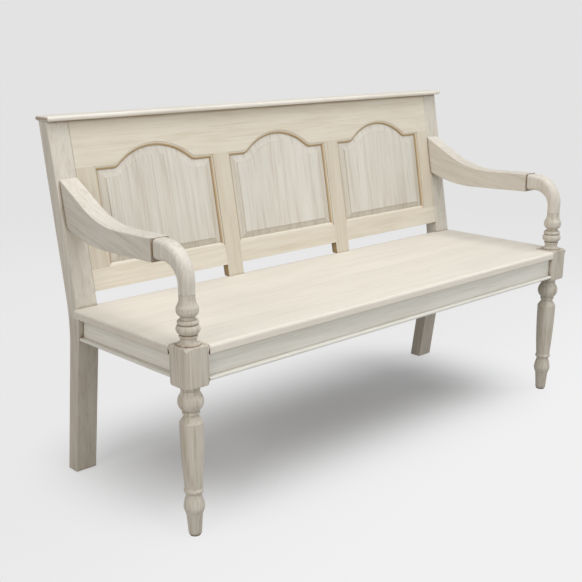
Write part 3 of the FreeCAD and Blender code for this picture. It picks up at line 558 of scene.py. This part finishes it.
class Workshop:
    """What every sub-assembly shares: softened copies of solids, dressing and reporting."""

    weld: float = 0.002
    flat_angle: float = math.radians(0.2)
    arris_angle: float = math.radians(40)
    arris_segments: int = 2
    face_weight: int = 100
    slots: dict[str, str] = {part["node"]: part["material_slot"] for part in frame["record"]["subparts"]}

    @staticmethod
    def keep(name: str, mesh: bpy.types.Mesh) -> bpy.types.Object:
        """Object at the origin that shows the mesh.

        Args:
            name: The piece's name.
            mesh: Its mesh, in metres and in place.

        Returns:
            The linked object.
        """
        piece = bpy.data.objects.new(name, mesh)
        bpy.context.scene.collection.objects.link(piece)
        return piece

    @staticmethod
    def flatten(piece: bpy.types.Object) -> None:
        """Turns a piece's modifiers into a plain mesh.

        Args:
            piece: The piece.
        """
        graph = bpy.context.evaluated_depsgraph_get()
        mesh = bpy.data.meshes.new_from_object(piece.evaluated_get(graph))
        mesh.name = piece.name
        piece.modifiers.clear()
        piece.data = mesh

    @classmethod
    def seat(cls, piece: bpy.types.Object, *nodes: str) -> None:
        """Sets a finished piece on the bench in place of its solids.

        Args:
            piece: The piece, dressed and in place.
            *nodes: The nodes that it stands for.
        """
        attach(piece, "root")
        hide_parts(*nodes)
        log.info("%s: %d faces for %s", piece.name, len(piece.data.polygons), ", ".join(nodes))

    @classmethod
    def soften(cls, node: str, finish: bpy.types.Material, arris: float, crease: float = CREASE) -> None:
        """Seats a copy of a solid with its arrises eased.

        Args:
            node: The node to copy.
            finish: The piece's material.
            arris: Width of the eased edge in millimetres.
            crease: Angle in degrees above which an edge stays crisp.
        """
        work = bmesh.new()
        work.from_mesh(frame["nodes"][node].data)
        bmesh.ops.remove_doubles(work, verts=work.verts, dist=cls.weld * MM)
        bmesh.ops.dissolve_limit(work, angle_limit=cls.flat_angle, verts=work.verts, edges=work.edges)
        mesh = bpy.data.meshes.new("soft_" + node)
        work.to_mesh(mesh)
        work.free()
        piece = cls.keep("soft_" + node, mesh)
        easing = piece.modifiers.new("eased", "BEVEL")
        easing.width = arris * MM
        easing.segments = cls.arris_segments
        easing.limit_method = "ANGLE"
        easing.angle_limit = cls.arris_angle
        cls.flatten(piece)
        piece.data.materials.clear()
        piece.data.materials.append(finish)
        piece.data.shade_smooth()
        piece.data.set_sharp_from_angle(angle=math.radians(crease))
        weighing = piece.modifiers.new("weighed", "WEIGHTED_NORMAL")
        weighing.keep_sharp = True
        weighing.weight = cls.face_weight
        cls.flatten(piece)
        cls.seat(piece, node)

    @classmethod
    def dress(cls, node: str, finish: bpy.types.Material) -> None:
        """Gives a node that keeps its own mesh a finish.

        Args:
            node: The node.
            finish: Its material.
        """
        target = frame["nodes"][node]
        for place in target.material_slots:
            place.material = finish
        log.info("%s: kept, in %s", node, finish.name)


@dataclass(frozen=True)
class Member:
    """One kind of sawn piece: its timber, grain and first seed, its places and its eased edge."""

    kind: str
    timber: LimedTimber
    grain: Grain
    seed: int
    places: tuple[str, ...] = ("",)
    arris: float = 0.6
    crease: float = CREASE

    def build(self) -> None:
        """Softens and dresses the piece at each of its places."""
        for number, place in enumerate(self.places):
            node = f"{self.kind}_{place}" if place else self.kind
            finish = self.timber.material(self.grain, self.seed + number)
            Workshop.soften(node, finish, self.arris, self.crease)


@dataclass(frozen=True)
class Back:
    """Raked back: posts, cap, arched top rail, stiles, muntins, bottom rails and raised panels."""

    members: tuple[Member, ...] = (
        Member("rear_post", POST, Grain.UPRIGHT, 1, SIDES, arris=0.8),
        Member("stile", STILE, Grain.UP_THE_BACK, 3, SIDES),
        Member("muntin", STILE, Grain.UP_THE_BACK, 5, SIDES),
        Member("bottom_rail", RAIL, Grain.LENGTHWISE, 7, BAYS),
        Member("back_panel", PANEL, Grain.UP_THE_BACK, 10, BAYS, arris=0.4, crease=5.0),
        Member("top_rail", RAIL, Grain.LENGTHWISE, 13),
        Member("cap_rail", CAP, Grain.LENGTHWISE, 14, arris=0.5),
    )
    dowel_seed: int = 15

    def build(self) -> None:
        """Builds and dresses every piece of the back."""
        for member in self.members:
            member.build()
        Workshop.dress("cap_dowels", PLAIN.material(Grain.UPRIGHT, self.dowel_seed))


@dataclass(frozen=True)
class Seat:
    """Seat boards with the aprons, beads, bearers and corner blocks that carry them."""

    members: tuple[Member, ...] = (
        Member("seat_board", SEAT, Grain.LENGTHWISE, 21, BOARDS, arris=0.3),
        Member("front_apron", APRON, Grain.LENGTHWISE, 26, arris=0.5),
        Member("rear_apron", APRON, Grain.LENGTHWISE, 27, arris=0.5),
        Member("front_bead", APRON, Grain.LENGTHWISE, 28, arris=0.3),
        Member("side_apron", APRON, Grain.FRONT_TO_BACK, 30, SIDES, arris=0.5),
        Member("side_bead", APRON, Grain.FRONT_TO_BACK, 32, SIDES, arris=0.3),
        Member("seat_bearer", PLAIN, Grain.FRONT_TO_BACK, 34, SIDES, arris=0.8),
        Member("corner_block_front", PLAIN, Grain.LENGTHWISE, 36, SIDES, arris=0.8),
        Member("corner_block_rear", PLAIN, Grain.LENGTHWISE, 38, SIDES, arris=0.8),
    )

    def build(self) -> None:
        """Builds and dresses the seat and its framing."""
        for member in self.members:
            member.build()


@dataclass
class FrontLeg:
    """Front leg turned in one piece: foot, square block and arm support.

    Rows are (rise, radius at the row's foot, bulge), from the floor up. A row rises to the foot of
    the next one, and its bulge is how far its line swells outwards.
    """

    side: str
    axis_x: float = LEG_X
    axis_y: float = LEG_Y
    start: float = 3.0
    block_bottom: float = 363.0
    block_top: float = 456.0
    block_side: float = 65.0
    block_ease: float = 2.5
    chamfer: float = 4.6
    chamfer_stop: float = 22.0
    chamfer_radius: float = 25.0
    pommel_radius: float = 39.5
    pommel_height: float = 7.0
    taper_foot: float = 20.2
    taper_bulge: float = 1.8
    neck_top: float = 23.4
    support_top: float = 18.0
    curve_step: float = 1.2
    softness: float = 1.2
    crease: float = 38.0
    weld: float = 0.001
    ease_shares: tuple[float, ...] = (0.0, 0.15, 0.4, 0.7, 1.0)
    run_out_shares: tuple[float, ...] = (0.0, 0.15, 0.3, 0.42, 0.52, 0.61, 0.66)
    edge_offsets: tuple[float, ...] = (-1.6, -0.8, 0.0, 0.8, 1.6)
    face_angles: tuple[float, ...] = (0, 5, 10, 15, 20, 25, 30, 35, 40, 43.4, 44.2, 45)
    foot: list[Row] = field(default_factory=lambda: [
        (3.0, 14.0, 0), (47.0, 15.2, 0), (11.0, 18.8, 0), (10.0, 22.8, 0.6), (27.0, 24.3, 0.9),
        (4.5, 17.8, 0), (1.2, 17.8, 0), (10.3, 20.8, 1.8), (1.5, 20.8, 0),
    ])
    neck: list[Row] = field(default_factory=lambda: [
        (1.5, 27.0, 0), (1.5, 26.8, 0), (12.0, 25.2, 0.4), (5.0, 17.0, 0), (1.0, 17.0, 0),
        (5.0, 19.6, 0.7), (1.0, 19.6, 0), (1.5, 18.6, 0), (33.9, 19.4, 6.2), (0.8, 26.4, 0),
        (0.8, 25.4, 0), (12.0, 25.4, -0.8), (1.0, 20.6, 0), (1.0, 22.0, 0), (9.0, 21.4, -0.6),
    ])
    support: list[Row] = field(default_factory=lambda: [
        (2.5, 27.0, 0), (0.5, 27.0, 0), (12.0, 25.6, -3.0), (1.5, 18.4, 0), (5.0, 20.2, 0.9),
        (1.0, 20.2, 0), (1.5, 18.6, 0), (0.5, 18.6, 0), (20.0, 21.4, 4.6), (0.5, 23.4, 0),
        (1.5, 21.8, 0), (0.5, 21.8, 0), (8.5, 23.2, 2.0), (1.5, 20.8, 0), (6.0, 17.2, -0.6),
        (1.0, 17.2, 0), (15.0, 18.6, 2.6), (7.0, 25.0, 0.6), (15.0, 23.6, -0.9), (10.0, 18.3, 0),
    ])

    def line(self, start: float, rows: list[Row], end_radius: float) -> list[Pair]:
        """Points of stacked rows.

        Args:
            start: Height of the first row's foot.
            rows: The rows.
            end_radius: Radius at the last row's top.

        Returns:
            Points as (radius, height), from the foot up.
        """
        heights = [start]
        for rise, _, _ in rows:
            heights.append(heights[-1] + rise)
        radii = [radius for _, radius, _ in rows] + [end_radius]
        points = [(radii[0], heights[0])]
        for number, (rise, radius, bulge) in enumerate(rows):
            first = Vector((radius, heights[number]))
            last = Vector((radii[number + 1], heights[number + 1]))
            steps = max(2, round(rise / self.curve_step)) if bulge else 1
            side = Vector((rise, radius - last.x)).normalized()
            for step in range(1, steps + 1):
                share = step / steps
                swell = bulge * (1 - (2 * share - 1) ** 2)
                point = first.lerp(last, share) + side * swell
                points.append((point.x, point.y))
        return points

    def outline(self) -> list[Pair]:
        """Whole line from the foot to the top of the support.

        Returns:
            Points as (radius, height), from the floor up.
        """
        foot_end = self.start + sum(rise for rise, _, _ in self.foot)
        neck_start = self.block_bottom - sum(rise for rise, _, _ in self.neck)
        taper = (neck_start - foot_end, self.taper_foot, self.taper_bulge)
        below = self.line(self.start, self.foot + [taper] + self.neck, self.neck_top)
        above = self.line(self.block_top, self.support, self.support_top)
        low, high = self.block_bottom, self.block_top
        eases = [self.block_ease * share for share in self.ease_shares]
        bottom = [(self.pommel_at(low + ease), low + ease) for ease in eases]
        top = [(self.pommel_at(high - ease), high - ease) for ease in eases]
        run_outs = [share * self.chamfer_radius for share in self.run_out_shares]
        stops = [(self.corner, high - self.chamfer_stop + rise) for rise in run_outs]
        block = bottom + [(self.corner, low + self.pommel_height)] + stops + top
        return below + sorted(block, key=lambda point: point[1]) + above

    @property
    def corner(self) -> float:
        """Distance of the block's corners from the axis."""
        return self.block_side / 2 * math.sqrt(2)

    def pommel_at(self, height: float) -> float:
        """Radius at which the turning meets the block's corners.

        Args:
            height: Height above the floor.

        Returns:
            The radius.
        """
        end = min(height - self.block_bottom, self.block_top - height)
        share = min(max(end / self.pommel_height, 0.0), 1.0)
        return self.pommel_radius + (self.corner - self.pommel_radius) * share

    def chamfer_at(self, height: float) -> float:
        """Distance of the chamfer's flat from the axis.

        Args:
            height: Height above the floor.

        Returns:
            The distance.
        """
        flat = self.corner - self.chamfer / math.sqrt(2)
        rise = min(max(height - (self.block_top - self.chamfer_stop), 0.0), self.chamfer_radius)
        return flat + self.chamfer_radius - math.sqrt(self.chamfer_radius ** 2 - rise ** 2)

    def half_at(self, height: float) -> float:
        """Half of the block's side, eased in at its top and bottom.

        Args:
            height: Height above the floor.

        Returns:
            The half side.
        """
        end = min(abs(height - self.block_bottom), abs(self.block_top - height))
        left = max(self.block_ease - end, 0.0)
        return self.block_side / 2 - (self.block_ease - math.sqrt(self.block_ease ** 2 - left ** 2))

    def columns(self) -> list[float]:
        """Angles of the mesh's columns, which meet every edge of the block.

        Returns:
            The angles in radians, once round.
        """
        half = self.block_side / 2
        edge = math.degrees(math.atan2(half - self.chamfer, half))
        eighth = set(self.face_angles) | {edge + offset for offset in self.edge_offsets}
        eighth = {angle for angle in eighth if angle <= 45}
        quarter = sorted(eighth | {90 - angle for angle in eighth})[:-1]
        return [math.radians(turn + angle) for turn in (0, 90, 180, 270) for angle in quarter]

    def gauge(self, name: str, points: list[Vector], sizes: dict[str, list[float]]) -> bpy.types.Object:
        """Loose points that carry the leg's line or its columns into the node tree.

        Args:
            name: The gauge's name.
            points: Its points.
            sizes: Named sizes, one value to a point.

        Returns:
            The unseen object.
        """
        mesh = bpy.data.meshes.new(name)
        mesh.from_pydata(points, [], [])
        for title, values in sizes.items():
            layer = mesh.attributes.new(title, "FLOAT", "POINT")
            layer.data.foreach_set("value", values)
        return bpy.data.objects.new(name, mesh)

    def tree(self) -> bpy.types.GeometryNodeTree:
        """Node tree that turns the line about its axis and squares the block.

        Returns:
            The tree.
        """
        group = bpy.data.node_groups.new("turned_leg", "GeometryNodeTree")
        sockets = group.interface
        for title, kind in (
            ("Line", "Object"), ("Columns", "Object"), ("Rows", "Int"), ("Turns", "Int"),
            ("Axis", "Vector"), ("Softness", "Float"), ("Finish", "Material"),
        ):
            sockets.new_socket(title, in_out="INPUT", socket_type="NodeSocket" + kind)
        sockets.new_socket("Leg", in_out="OUTPUT", socket_type="NodeSocketGeometry")

        add = partial(add_node, group)

        def maths(operation: str, *values: object) -> Socket:
            """Result of a sum."""
            return add("ShaderNodeMath", dict(enumerate(values)), operation=operation).outputs[0]

        given = add("NodeGroupInput", {}).outputs
        grid = add("GeometryNodeMeshGrid", {
            "Size X": 1.0, "Size Y": 1.0, "Vertices X": given["Turns"], "Vertices Y": given["Rows"],
        })
        index = add("GeometryNodeInputIndex", {}).outputs[0]
        column = maths("FLOOR", maths("DIVIDE", maths("ADD", index, 0.5), given["Rows"]))
        row = maths("SUBTRACT", index, maths("MULTIPLY", column, given["Rows"]))
        line = add("GeometryNodeObjectInfo", {"Object": given["Line"]}).outputs["Geometry"]
        turns = add("GeometryNodeObjectInfo", {"Object": given["Columns"]}).outputs["Geometry"]
        place = add("GeometryNodeInputPosition", {}).outputs[0]

        def sampled(source: Socket, at: Socket, value: Socket, kind: str) -> Socket:
            """Value at one point of a gauge."""
            values = {"Geometry": source, "Value": value, "Index": at}
            return add("GeometryNodeSampleIndex", values, data_type=kind, domain="POINT").outputs[0]

        def size(title: str) -> Socket:
            """Named size of a gauge."""
            return add("GeometryNodeInputNamedAttribute", {"Name": title}, data_type="FLOAT").outputs[0]

        point = add("ShaderNodeSeparateXYZ", {0: sampled(line, row, place, "FLOAT_VECTOR")}).outputs
        half = sampled(line, row, size("half"), "FLOAT")
        angle = sampled(turns, column, size("angle"), "FLOAT")
        cosine, sine = maths("COSINE", angle), maths("SINE", angle)
        across = maths("MAXIMUM", maths("ABSOLUTE", cosine), maths("ABSOLUTE", sine))
        square = maths("DIVIDE", half, across)
        skew = maths("ADD", maths("ABSOLUTE", cosine), maths("ABSOLUTE", sine))
        chamfer = maths("DIVIDE", maths("MULTIPLY", point[1], math.sqrt(2)), skew)
        block = maths("SMOOTH_MIN", square, chamfer, given["Softness"])
        radius = maths("SMOOTH_MIN", point[0], block, given["Softness"])
        moved = add("ShaderNodeCombineXYZ", {
            0: maths("MULTIPLY", radius, cosine), 1: maths("MULTIPLY", radius, sine), 2: point[2],
        }).outputs[0]
        moved = add("ShaderNodeVectorMath", {0: moved, 1: given["Axis"]}, operation="ADD").outputs[0]
        shaped = add("GeometryNodeSetPosition", {"Geometry": grid.outputs["Mesh"], "Position": moved})
        values = {"Geometry": shaped.outputs[0], "Distance": self.weld * MM}
        merged = add("GeometryNodeMergeByDistance", values)
        real = add("GeometryNodeRealizeInstances", {"Geometry": merged.outputs[0]})
        values = {"Geometry": real.outputs[0], "Material": given["Finish"]}
        finished = add("GeometryNodeSetMaterial", values)
        add("NodeGroupOutput", {0: finished.outputs[0]})
        return group

    def build(self, seed: int) -> None:
        """Turns the leg and seats it.

        Args:
            seed: Picks the leg's timber.
        """
        way = -1 if self.side == "left" else 1
        line = self.outline()
        line = [(0.0, line[0][1])] + line + [(0.0, line[-1][1])]
        points = [Vector((radius, self.chamfer_at(height), height)) * MM for radius, height in line]
        halves = [self.half_at(height) * MM for _, height in line]
        angles = self.columns()
        angles.append(angles[0] + math.tau)
        gauge_line = self.gauge("leg_line", points, {"half": halves})
        gauge_turns = self.gauge("leg_columns", [Vector()] * len(angles), {"angle": angles})
        piece = Workshop.keep(f"turned_leg_{self.side}", bpy.data.meshes.new("turned_leg"))
        finish = TURNED.material(Grain.UPRIGHT, seed)
        group = self.tree()
        modifier = piece.modifiers.new("turning", "NODES")
        modifier.node_group = group
        values = {
            "Line": gauge_line, "Columns": gauge_turns, "Rows": len(points), "Turns": len(angles),
            "Axis": (way * self.axis_x * MM, self.axis_y * MM, 0.0), "Softness": self.softness * MM,
            "Finish": finish,
        }
        for item in group.interface.items_tree:
            if item.item_type == "SOCKET" and item.in_out == "INPUT":
                modifier[item.identifier] = values[item.name]
        Workshop.flatten(piece)
        work = bmesh.new()
        work.from_mesh(piece.data)
        bmesh.ops.remove_doubles(work, verts=work.verts, dist=self.weld * MM)
        bmesh.ops.recalc_face_normals(work, faces=work.faces)
        work.to_mesh(piece.data)
        work.free()
        piece.data.shade_smooth()
        piece.data.set_sharp_from_angle(angle=math.radians(self.crease))
        for gauge in (gauge_line, gauge_turns):
            bpy.data.objects.remove(gauge)
        Workshop.seat(piece, f"front_leg_{self.side}")


@dataclass
class ArmRest:
    """Swept arm, the bent piece at its front, and their dowels."""

    side: str
    axis_x: float = LEG_X
    axis_y: float = LEG_Y
    straight: float = 26.0
    radius: float = 64.0
    centre_height: float = 652.5
    foot_height: float = 567.0
    width: float = 40.0
    depth: float = 46.0
    corner: float = 10.0
    foot_radius: float = 18.0
    flat: float = 0.5
    turns: int = 72
    rings: int = 56
    crease: float = 50.0
    top_ease: tuple[Pair, ...] = ((0.0, 1.2), (0.25, 0.5), (0.8, 0.1))
    foot_ease: tuple[Pair, ...] = ((0.5, 0.05), (0.1, 0.25), (0.0, 0.6))

    def section(self, share: float) -> tuple[float, float, float]:
        """Section of the bent piece.

        Args:
            share: Share of the way down the bend.

        Returns:
            Half width, half depth and corner radius.
        """
        eased = share * share * (3 - 2 * share)
        width = self.width + (2 * self.foot_radius - self.width) * eased
        depth = self.depth + (2 * self.foot_radius - self.depth) * eased
        corner = self.corner + (self.foot_radius - self.flat - self.corner) * eased
        return width / 2, depth / 2, corner

    def ring(self, share: float, inset: float) -> list[Pair]:
        """Points round the section.

        Args:
            share: Share of the way down the bend.
            inset: How far the section is drawn in.

        Returns:
            Points as (across, outwards).
        """
        half_x, half_n, corner = (size - inset for size in self.section(share))
        points = []
        each = self.turns // 4
        for quarter in range(4):
            side_x, side_n = ((1, 1), (-1, 1), (-1, -1), (1, -1))[quarter]
            for step in range(each):
                angle = math.pi / 2 * (quarter + step / (each - 1))
                points.append((
                    side_x * (half_x - corner) + corner * math.cos(angle),
                    side_n * (half_n - corner) + corner * math.sin(angle),
                ))
        return points

    def bend(self, seed: int) -> None:
        """Builds the bent piece as one closed sweep.

        An ease holds (distance from the end, how far the section is drawn in).

        Args:
            seed: Picks its timber.
        """
        way = -1 if self.side == "left" else 1
        quarter = self.radius * math.pi / 2
        drop = self.centre_height - self.radius - self.foot_height
        length = self.straight + quarter + drop
        stations = list(self.top_ease)
        stations += [(length * step / self.rings, 0.0) for step in range(1, self.rings)]
        stations += [(length - before, inset) for before, inset in self.foot_ease]
        work = bmesh.new()
        loops = []
        for gone, inset in stations:
            turn = min(max((gone - self.straight) / self.radius, 0.0), math.pi / 2)
            behind = self.radius * (1 - math.sin(turn)) + self.straight - min(gone, self.straight)
            below = self.radius * (1 - math.cos(turn)) + max(gone - self.straight - quarter, 0.0)
            normal = Vector((0.0, -math.sin(turn), math.cos(turn)))
            centre = Vector((way * self.axis_x, self.axis_y + behind, self.centre_height - below))
            loop = []
            for across, outwards in self.ring(gone / length, inset):
                point = centre + Vector((across, 0.0, 0.0)) + normal * outwards
                loop.append(work.verts.new(point * MM))
            loops.append(loop)
        for first, second in zip(loops, loops[1:]):
            for number, start in enumerate(first):
                after = (number + 1) % len(first)
                work.faces.new((start, first[after], second[after], second[number]))
        work.faces.new(loops[0])
        work.faces.new(loops[-1])
        bmesh.ops.recalc_face_normals(work, faces=work.faces)
        mesh = bpy.data.meshes.new("bent_" + self.side)
        work.to_mesh(mesh)
        work.free()
        mesh.materials.append(BENT.material(Grain.UPRIGHT, seed))
        mesh.shade_smooth()
        mesh.set_sharp_from_angle(angle=math.radians(self.crease))
        Workshop.seat(Workshop.keep("bent_" + self.side, mesh), f"arm_bend_{self.side}")

    def build(self, seed: int) -> None:
        """Builds and dresses the arm.

        Args:
            seed: Picks its timber.
        """
        Workshop.soften(f"arm_{self.side}", ARM.material(Grain.ALONG_ARM, seed), 1.0)
        self.bend(seed + 2)
        Workshop.dress(f"arm_dowel_{self.side}", PLAIN.material(Grain.FRONT_TO_BACK, seed + 4))
        Workshop.dress(f"support_dowel_{self.side}", PLAIN.material(Grain.UPRIGHT, seed + 6))


@dataclass
class Fittings:
    """Screws up into the seat and glides under the feet."""

    def build(self) -> None:
        """Dresses the fittings."""
        Workshop.dress("seat_screws", Steel().material())
        nylon = Nylon().material()
        for end in ("front", "rear"):
            for side in SIDES:
                Workshop.dress(f"{end}_glide_{side}", nylon)


@dataclass(frozen=True)
class Lamp:
    """Soft rectangular lamp: place and target in metres, power in watts."""

    name: str
    place: Colour
    target: Colour
    size: tuple[float, float]
    power: float
    colour: Colour = (1.0, 1.0, 1.0)

    def hang(self) -> None:
        """Adds the lamp to the scene."""
        data = bpy.data.lights.new(self.name, "AREA")
        data.shape = "RECTANGLE"
        data.size, data.size_y = self.size
        data.energy = self.power
        data.color = self.colour
        lamp = bpy.data.objects.new(self.name, data)
        aim = (Vector(self.target) - Vector(self.place)).to_track_quat("-Z", "Y")
        lamp.matrix_world = Matrix.Translation(self.place) @ aim.to_matrix().to_4x4()
        bpy.context.scene.collection.objects.link(lamp)


@dataclass(frozen=True)
class Studio:
    """Plain pale studio: floor, soft lamps and the camera. Places are metres, angles degrees."""

    eye: Colour = (-1.9270, -1.8797, 1.1004)
    heading: float = 43.2
    tilt: float = -17.3
    roll: float = -0.2
    lens: float = 61.13
    sensor: float = 36.0
    rise: float = 0.0806
    backdrop: Colour = tone(227, 227, 227)
    # Painted light on the plain floor: dimmer behind, brighter in front.
    floor_painted_dim: Colour = tone(233, 233, 233)
    floor_painted_lit: Colour = tone(241, 241, 241)
    floor_colour: Colour = tone(224, 225, 227)
    floor_bounce: Colour = tone(176, 174, 170)
    floor_radius: float = 14.0
    floor_turns: int = 96
    shadow_centre: Colour = (0.0, 0.08, 0.0)
    shadow_half: Colour = (0.42, 0.03, 0.0)
    fade_end: float = 0.5
    painted_light_way: Colour = (0.2, -1.0, 0.0)
    painted_light_span: Pair = (-0.35, 0.65)
    far_span: Pair = (1.4, 4.0)
    ambient: float = 0.36
    lamps: tuple[Lamp, ...] = (
        Lamp("overhead", (0.5, -0.9, 4.5), (0.0, 0.0, 0.4), (3.5, 2.6), 120.0),
        Lamp("right", (4.2, -2.4, 2.6), (0.0, 0.0, 0.5), (2.4, 2.0), 31.0, (0.86, 0.95, 1.0)),
        Lamp("front", (-0.4, -4.8, 2.2), (0.0, 0.0, 0.5), (3.0, 2.4), 60.0),
        Lamp("left", (-4.2, -1.2, 2.2), (0.0, 0.0, 0.5), (2.4, 2.0), 56.0, (1.0, 0.96, 0.92)),
    )

    def camera(self) -> None:
        """Sets up the camera."""
        data = bpy.data.cameras.new("camera")
        data.lens = self.lens
        data.sensor_width = self.sensor
        data.shift_y = self.rise
        camera = bpy.data.objects.new("camera", data)
        turn = Matrix.Rotation(math.radians(-self.heading), 4, "Z")
        lean = Matrix.Rotation(math.radians(90 + self.tilt), 4, "X")
        roll = Matrix.Rotation(math.radians(self.roll), 4, "Z")
        camera.matrix_world = Matrix.Translation(self.eye) @ turn @ lean @ roll
        bpy.context.scene.collection.objects.link(camera)
        bpy.context.scene.camera = camera

    def floor(self) -> None:
        """Adds the floor, which fades into the backdrop past the shadow, is clear from below, and whose
        plain part carries painted light: lighter towards the front, dimmer behind.
        """
        sheet = Sheet("floor")
        place = sheet.add("TexCoord", {}).outputs["Object"]
        offset = sheet.vector("SUBTRACT", place, self.shadow_centre)
        past = sheet.vector("SUBTRACT", sheet.vector("ABSOLUTE", offset), self.shadow_half)
        outside = sheet.vector("MAXIMUM", past, (0.0, 0.0, 0.0))
        fade = sheet.spread(sheet.vector("LENGTH", outside), 0.0, self.fade_end)
        # Painted light: the plain floor goes from dim behind to bright in front.
        level = sheet.spread(sheet.vector("DOT_PRODUCT", place, self.painted_light_way), *self.painted_light_span)
        far = sheet.spread(sheet.vector("LENGTH", place), *self.far_span)
        shade = sheet.blend(far, sheet.blend(level, self.floor_painted_dim, self.floor_painted_lit), self.backdrop)
        paint = sheet.add("BsdfDiffuse", {"Color": (*self.floor_colour, 1.0)}).outputs[0]
        bounce = sheet.add("BsdfDiffuse", {"Color": (*self.floor_bounce, 1.0)}).outputs[0]
        plain = sheet.add("Emission", {"Color": shade, "Strength": 1.0}).outputs[0]
        mixed = sheet.add("MixShader", {0: fade, 1: paint, 2: plain}).outputs[0]
        path = sheet.add("LightPath", {}).outputs
        seen = sheet.math("MAXIMUM", path["Is Camera Ray"], path["Is Glossy Ray"])
        upper = sheet.add("MixShader", {0: seen, 1: bounce, 2: mixed}).outputs[0]
        clear = sheet.add("BsdfTransparent", {}).outputs[0]
        below = sheet.add("NewGeometry", {}).outputs["Backfacing"]
        final = sheet.add("MixShader", {0: below, 1: upper, 2: clear}).outputs[0]
        work = bmesh.new()
        bmesh.ops.create_circle(work, cap_ends=True, segments=self.floor_turns, radius=self.floor_radius)
        mesh = bpy.data.meshes.new("floor")
        work.to_mesh(mesh)
        work.free()
        mesh.materials.append(sheet.close(final))
        Workshop.keep("floor", mesh)

    def world(self) -> None:
        """Sets the backdrop that the camera sees and the even light round the bench."""
        world = bpy.data.worlds.new("studio")
        world.use_nodes = True
        tree = world.node_tree
        tree.nodes.clear()
        seen = add_node(tree, "ShaderNodeLightPath", {}).outputs["Is Camera Ray"]
        white = {"Color": (1.0, 1.0, 1.0, 1.0), "Strength": self.ambient}
        light = add_node(tree, "ShaderNodeBackground", white).outputs[0]
        shown = add_node(tree, "ShaderNodeBackground", {"Color": (*self.backdrop, 1.0)}).outputs[0]
        mixed = add_node(tree, "ShaderNodeMixShader", {0: seen, 1: light, 2: shown}).outputs[0]
        add_node(tree, "ShaderNodeOutputWorld", {"Surface": mixed})
        bpy.context.scene.world = world

    def build(self) -> None:
        """Builds the studio."""
        self.camera()
        self.floor()
        self.world()
        for lamp in self.lamps:
            lamp.hang()
        bpy.context.scene.view_settings.view_transform = "Standard"


def main() -> None:
    """Builds the bench and its studio."""
    logging.basicConfig(level=logging.INFO, format="%(message)s")
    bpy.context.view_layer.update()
    Back().build()
    Seat().build()
    for number, side in enumerate(SIDES):
        FrontLeg(side).build(LEG_SEED + number)
        ArmRest(side).build(ARM_SEED + ARM_SEED_STEP * number)
    Fittings().build()
    Studio().build()


if __name__ == "__main__":
    main()
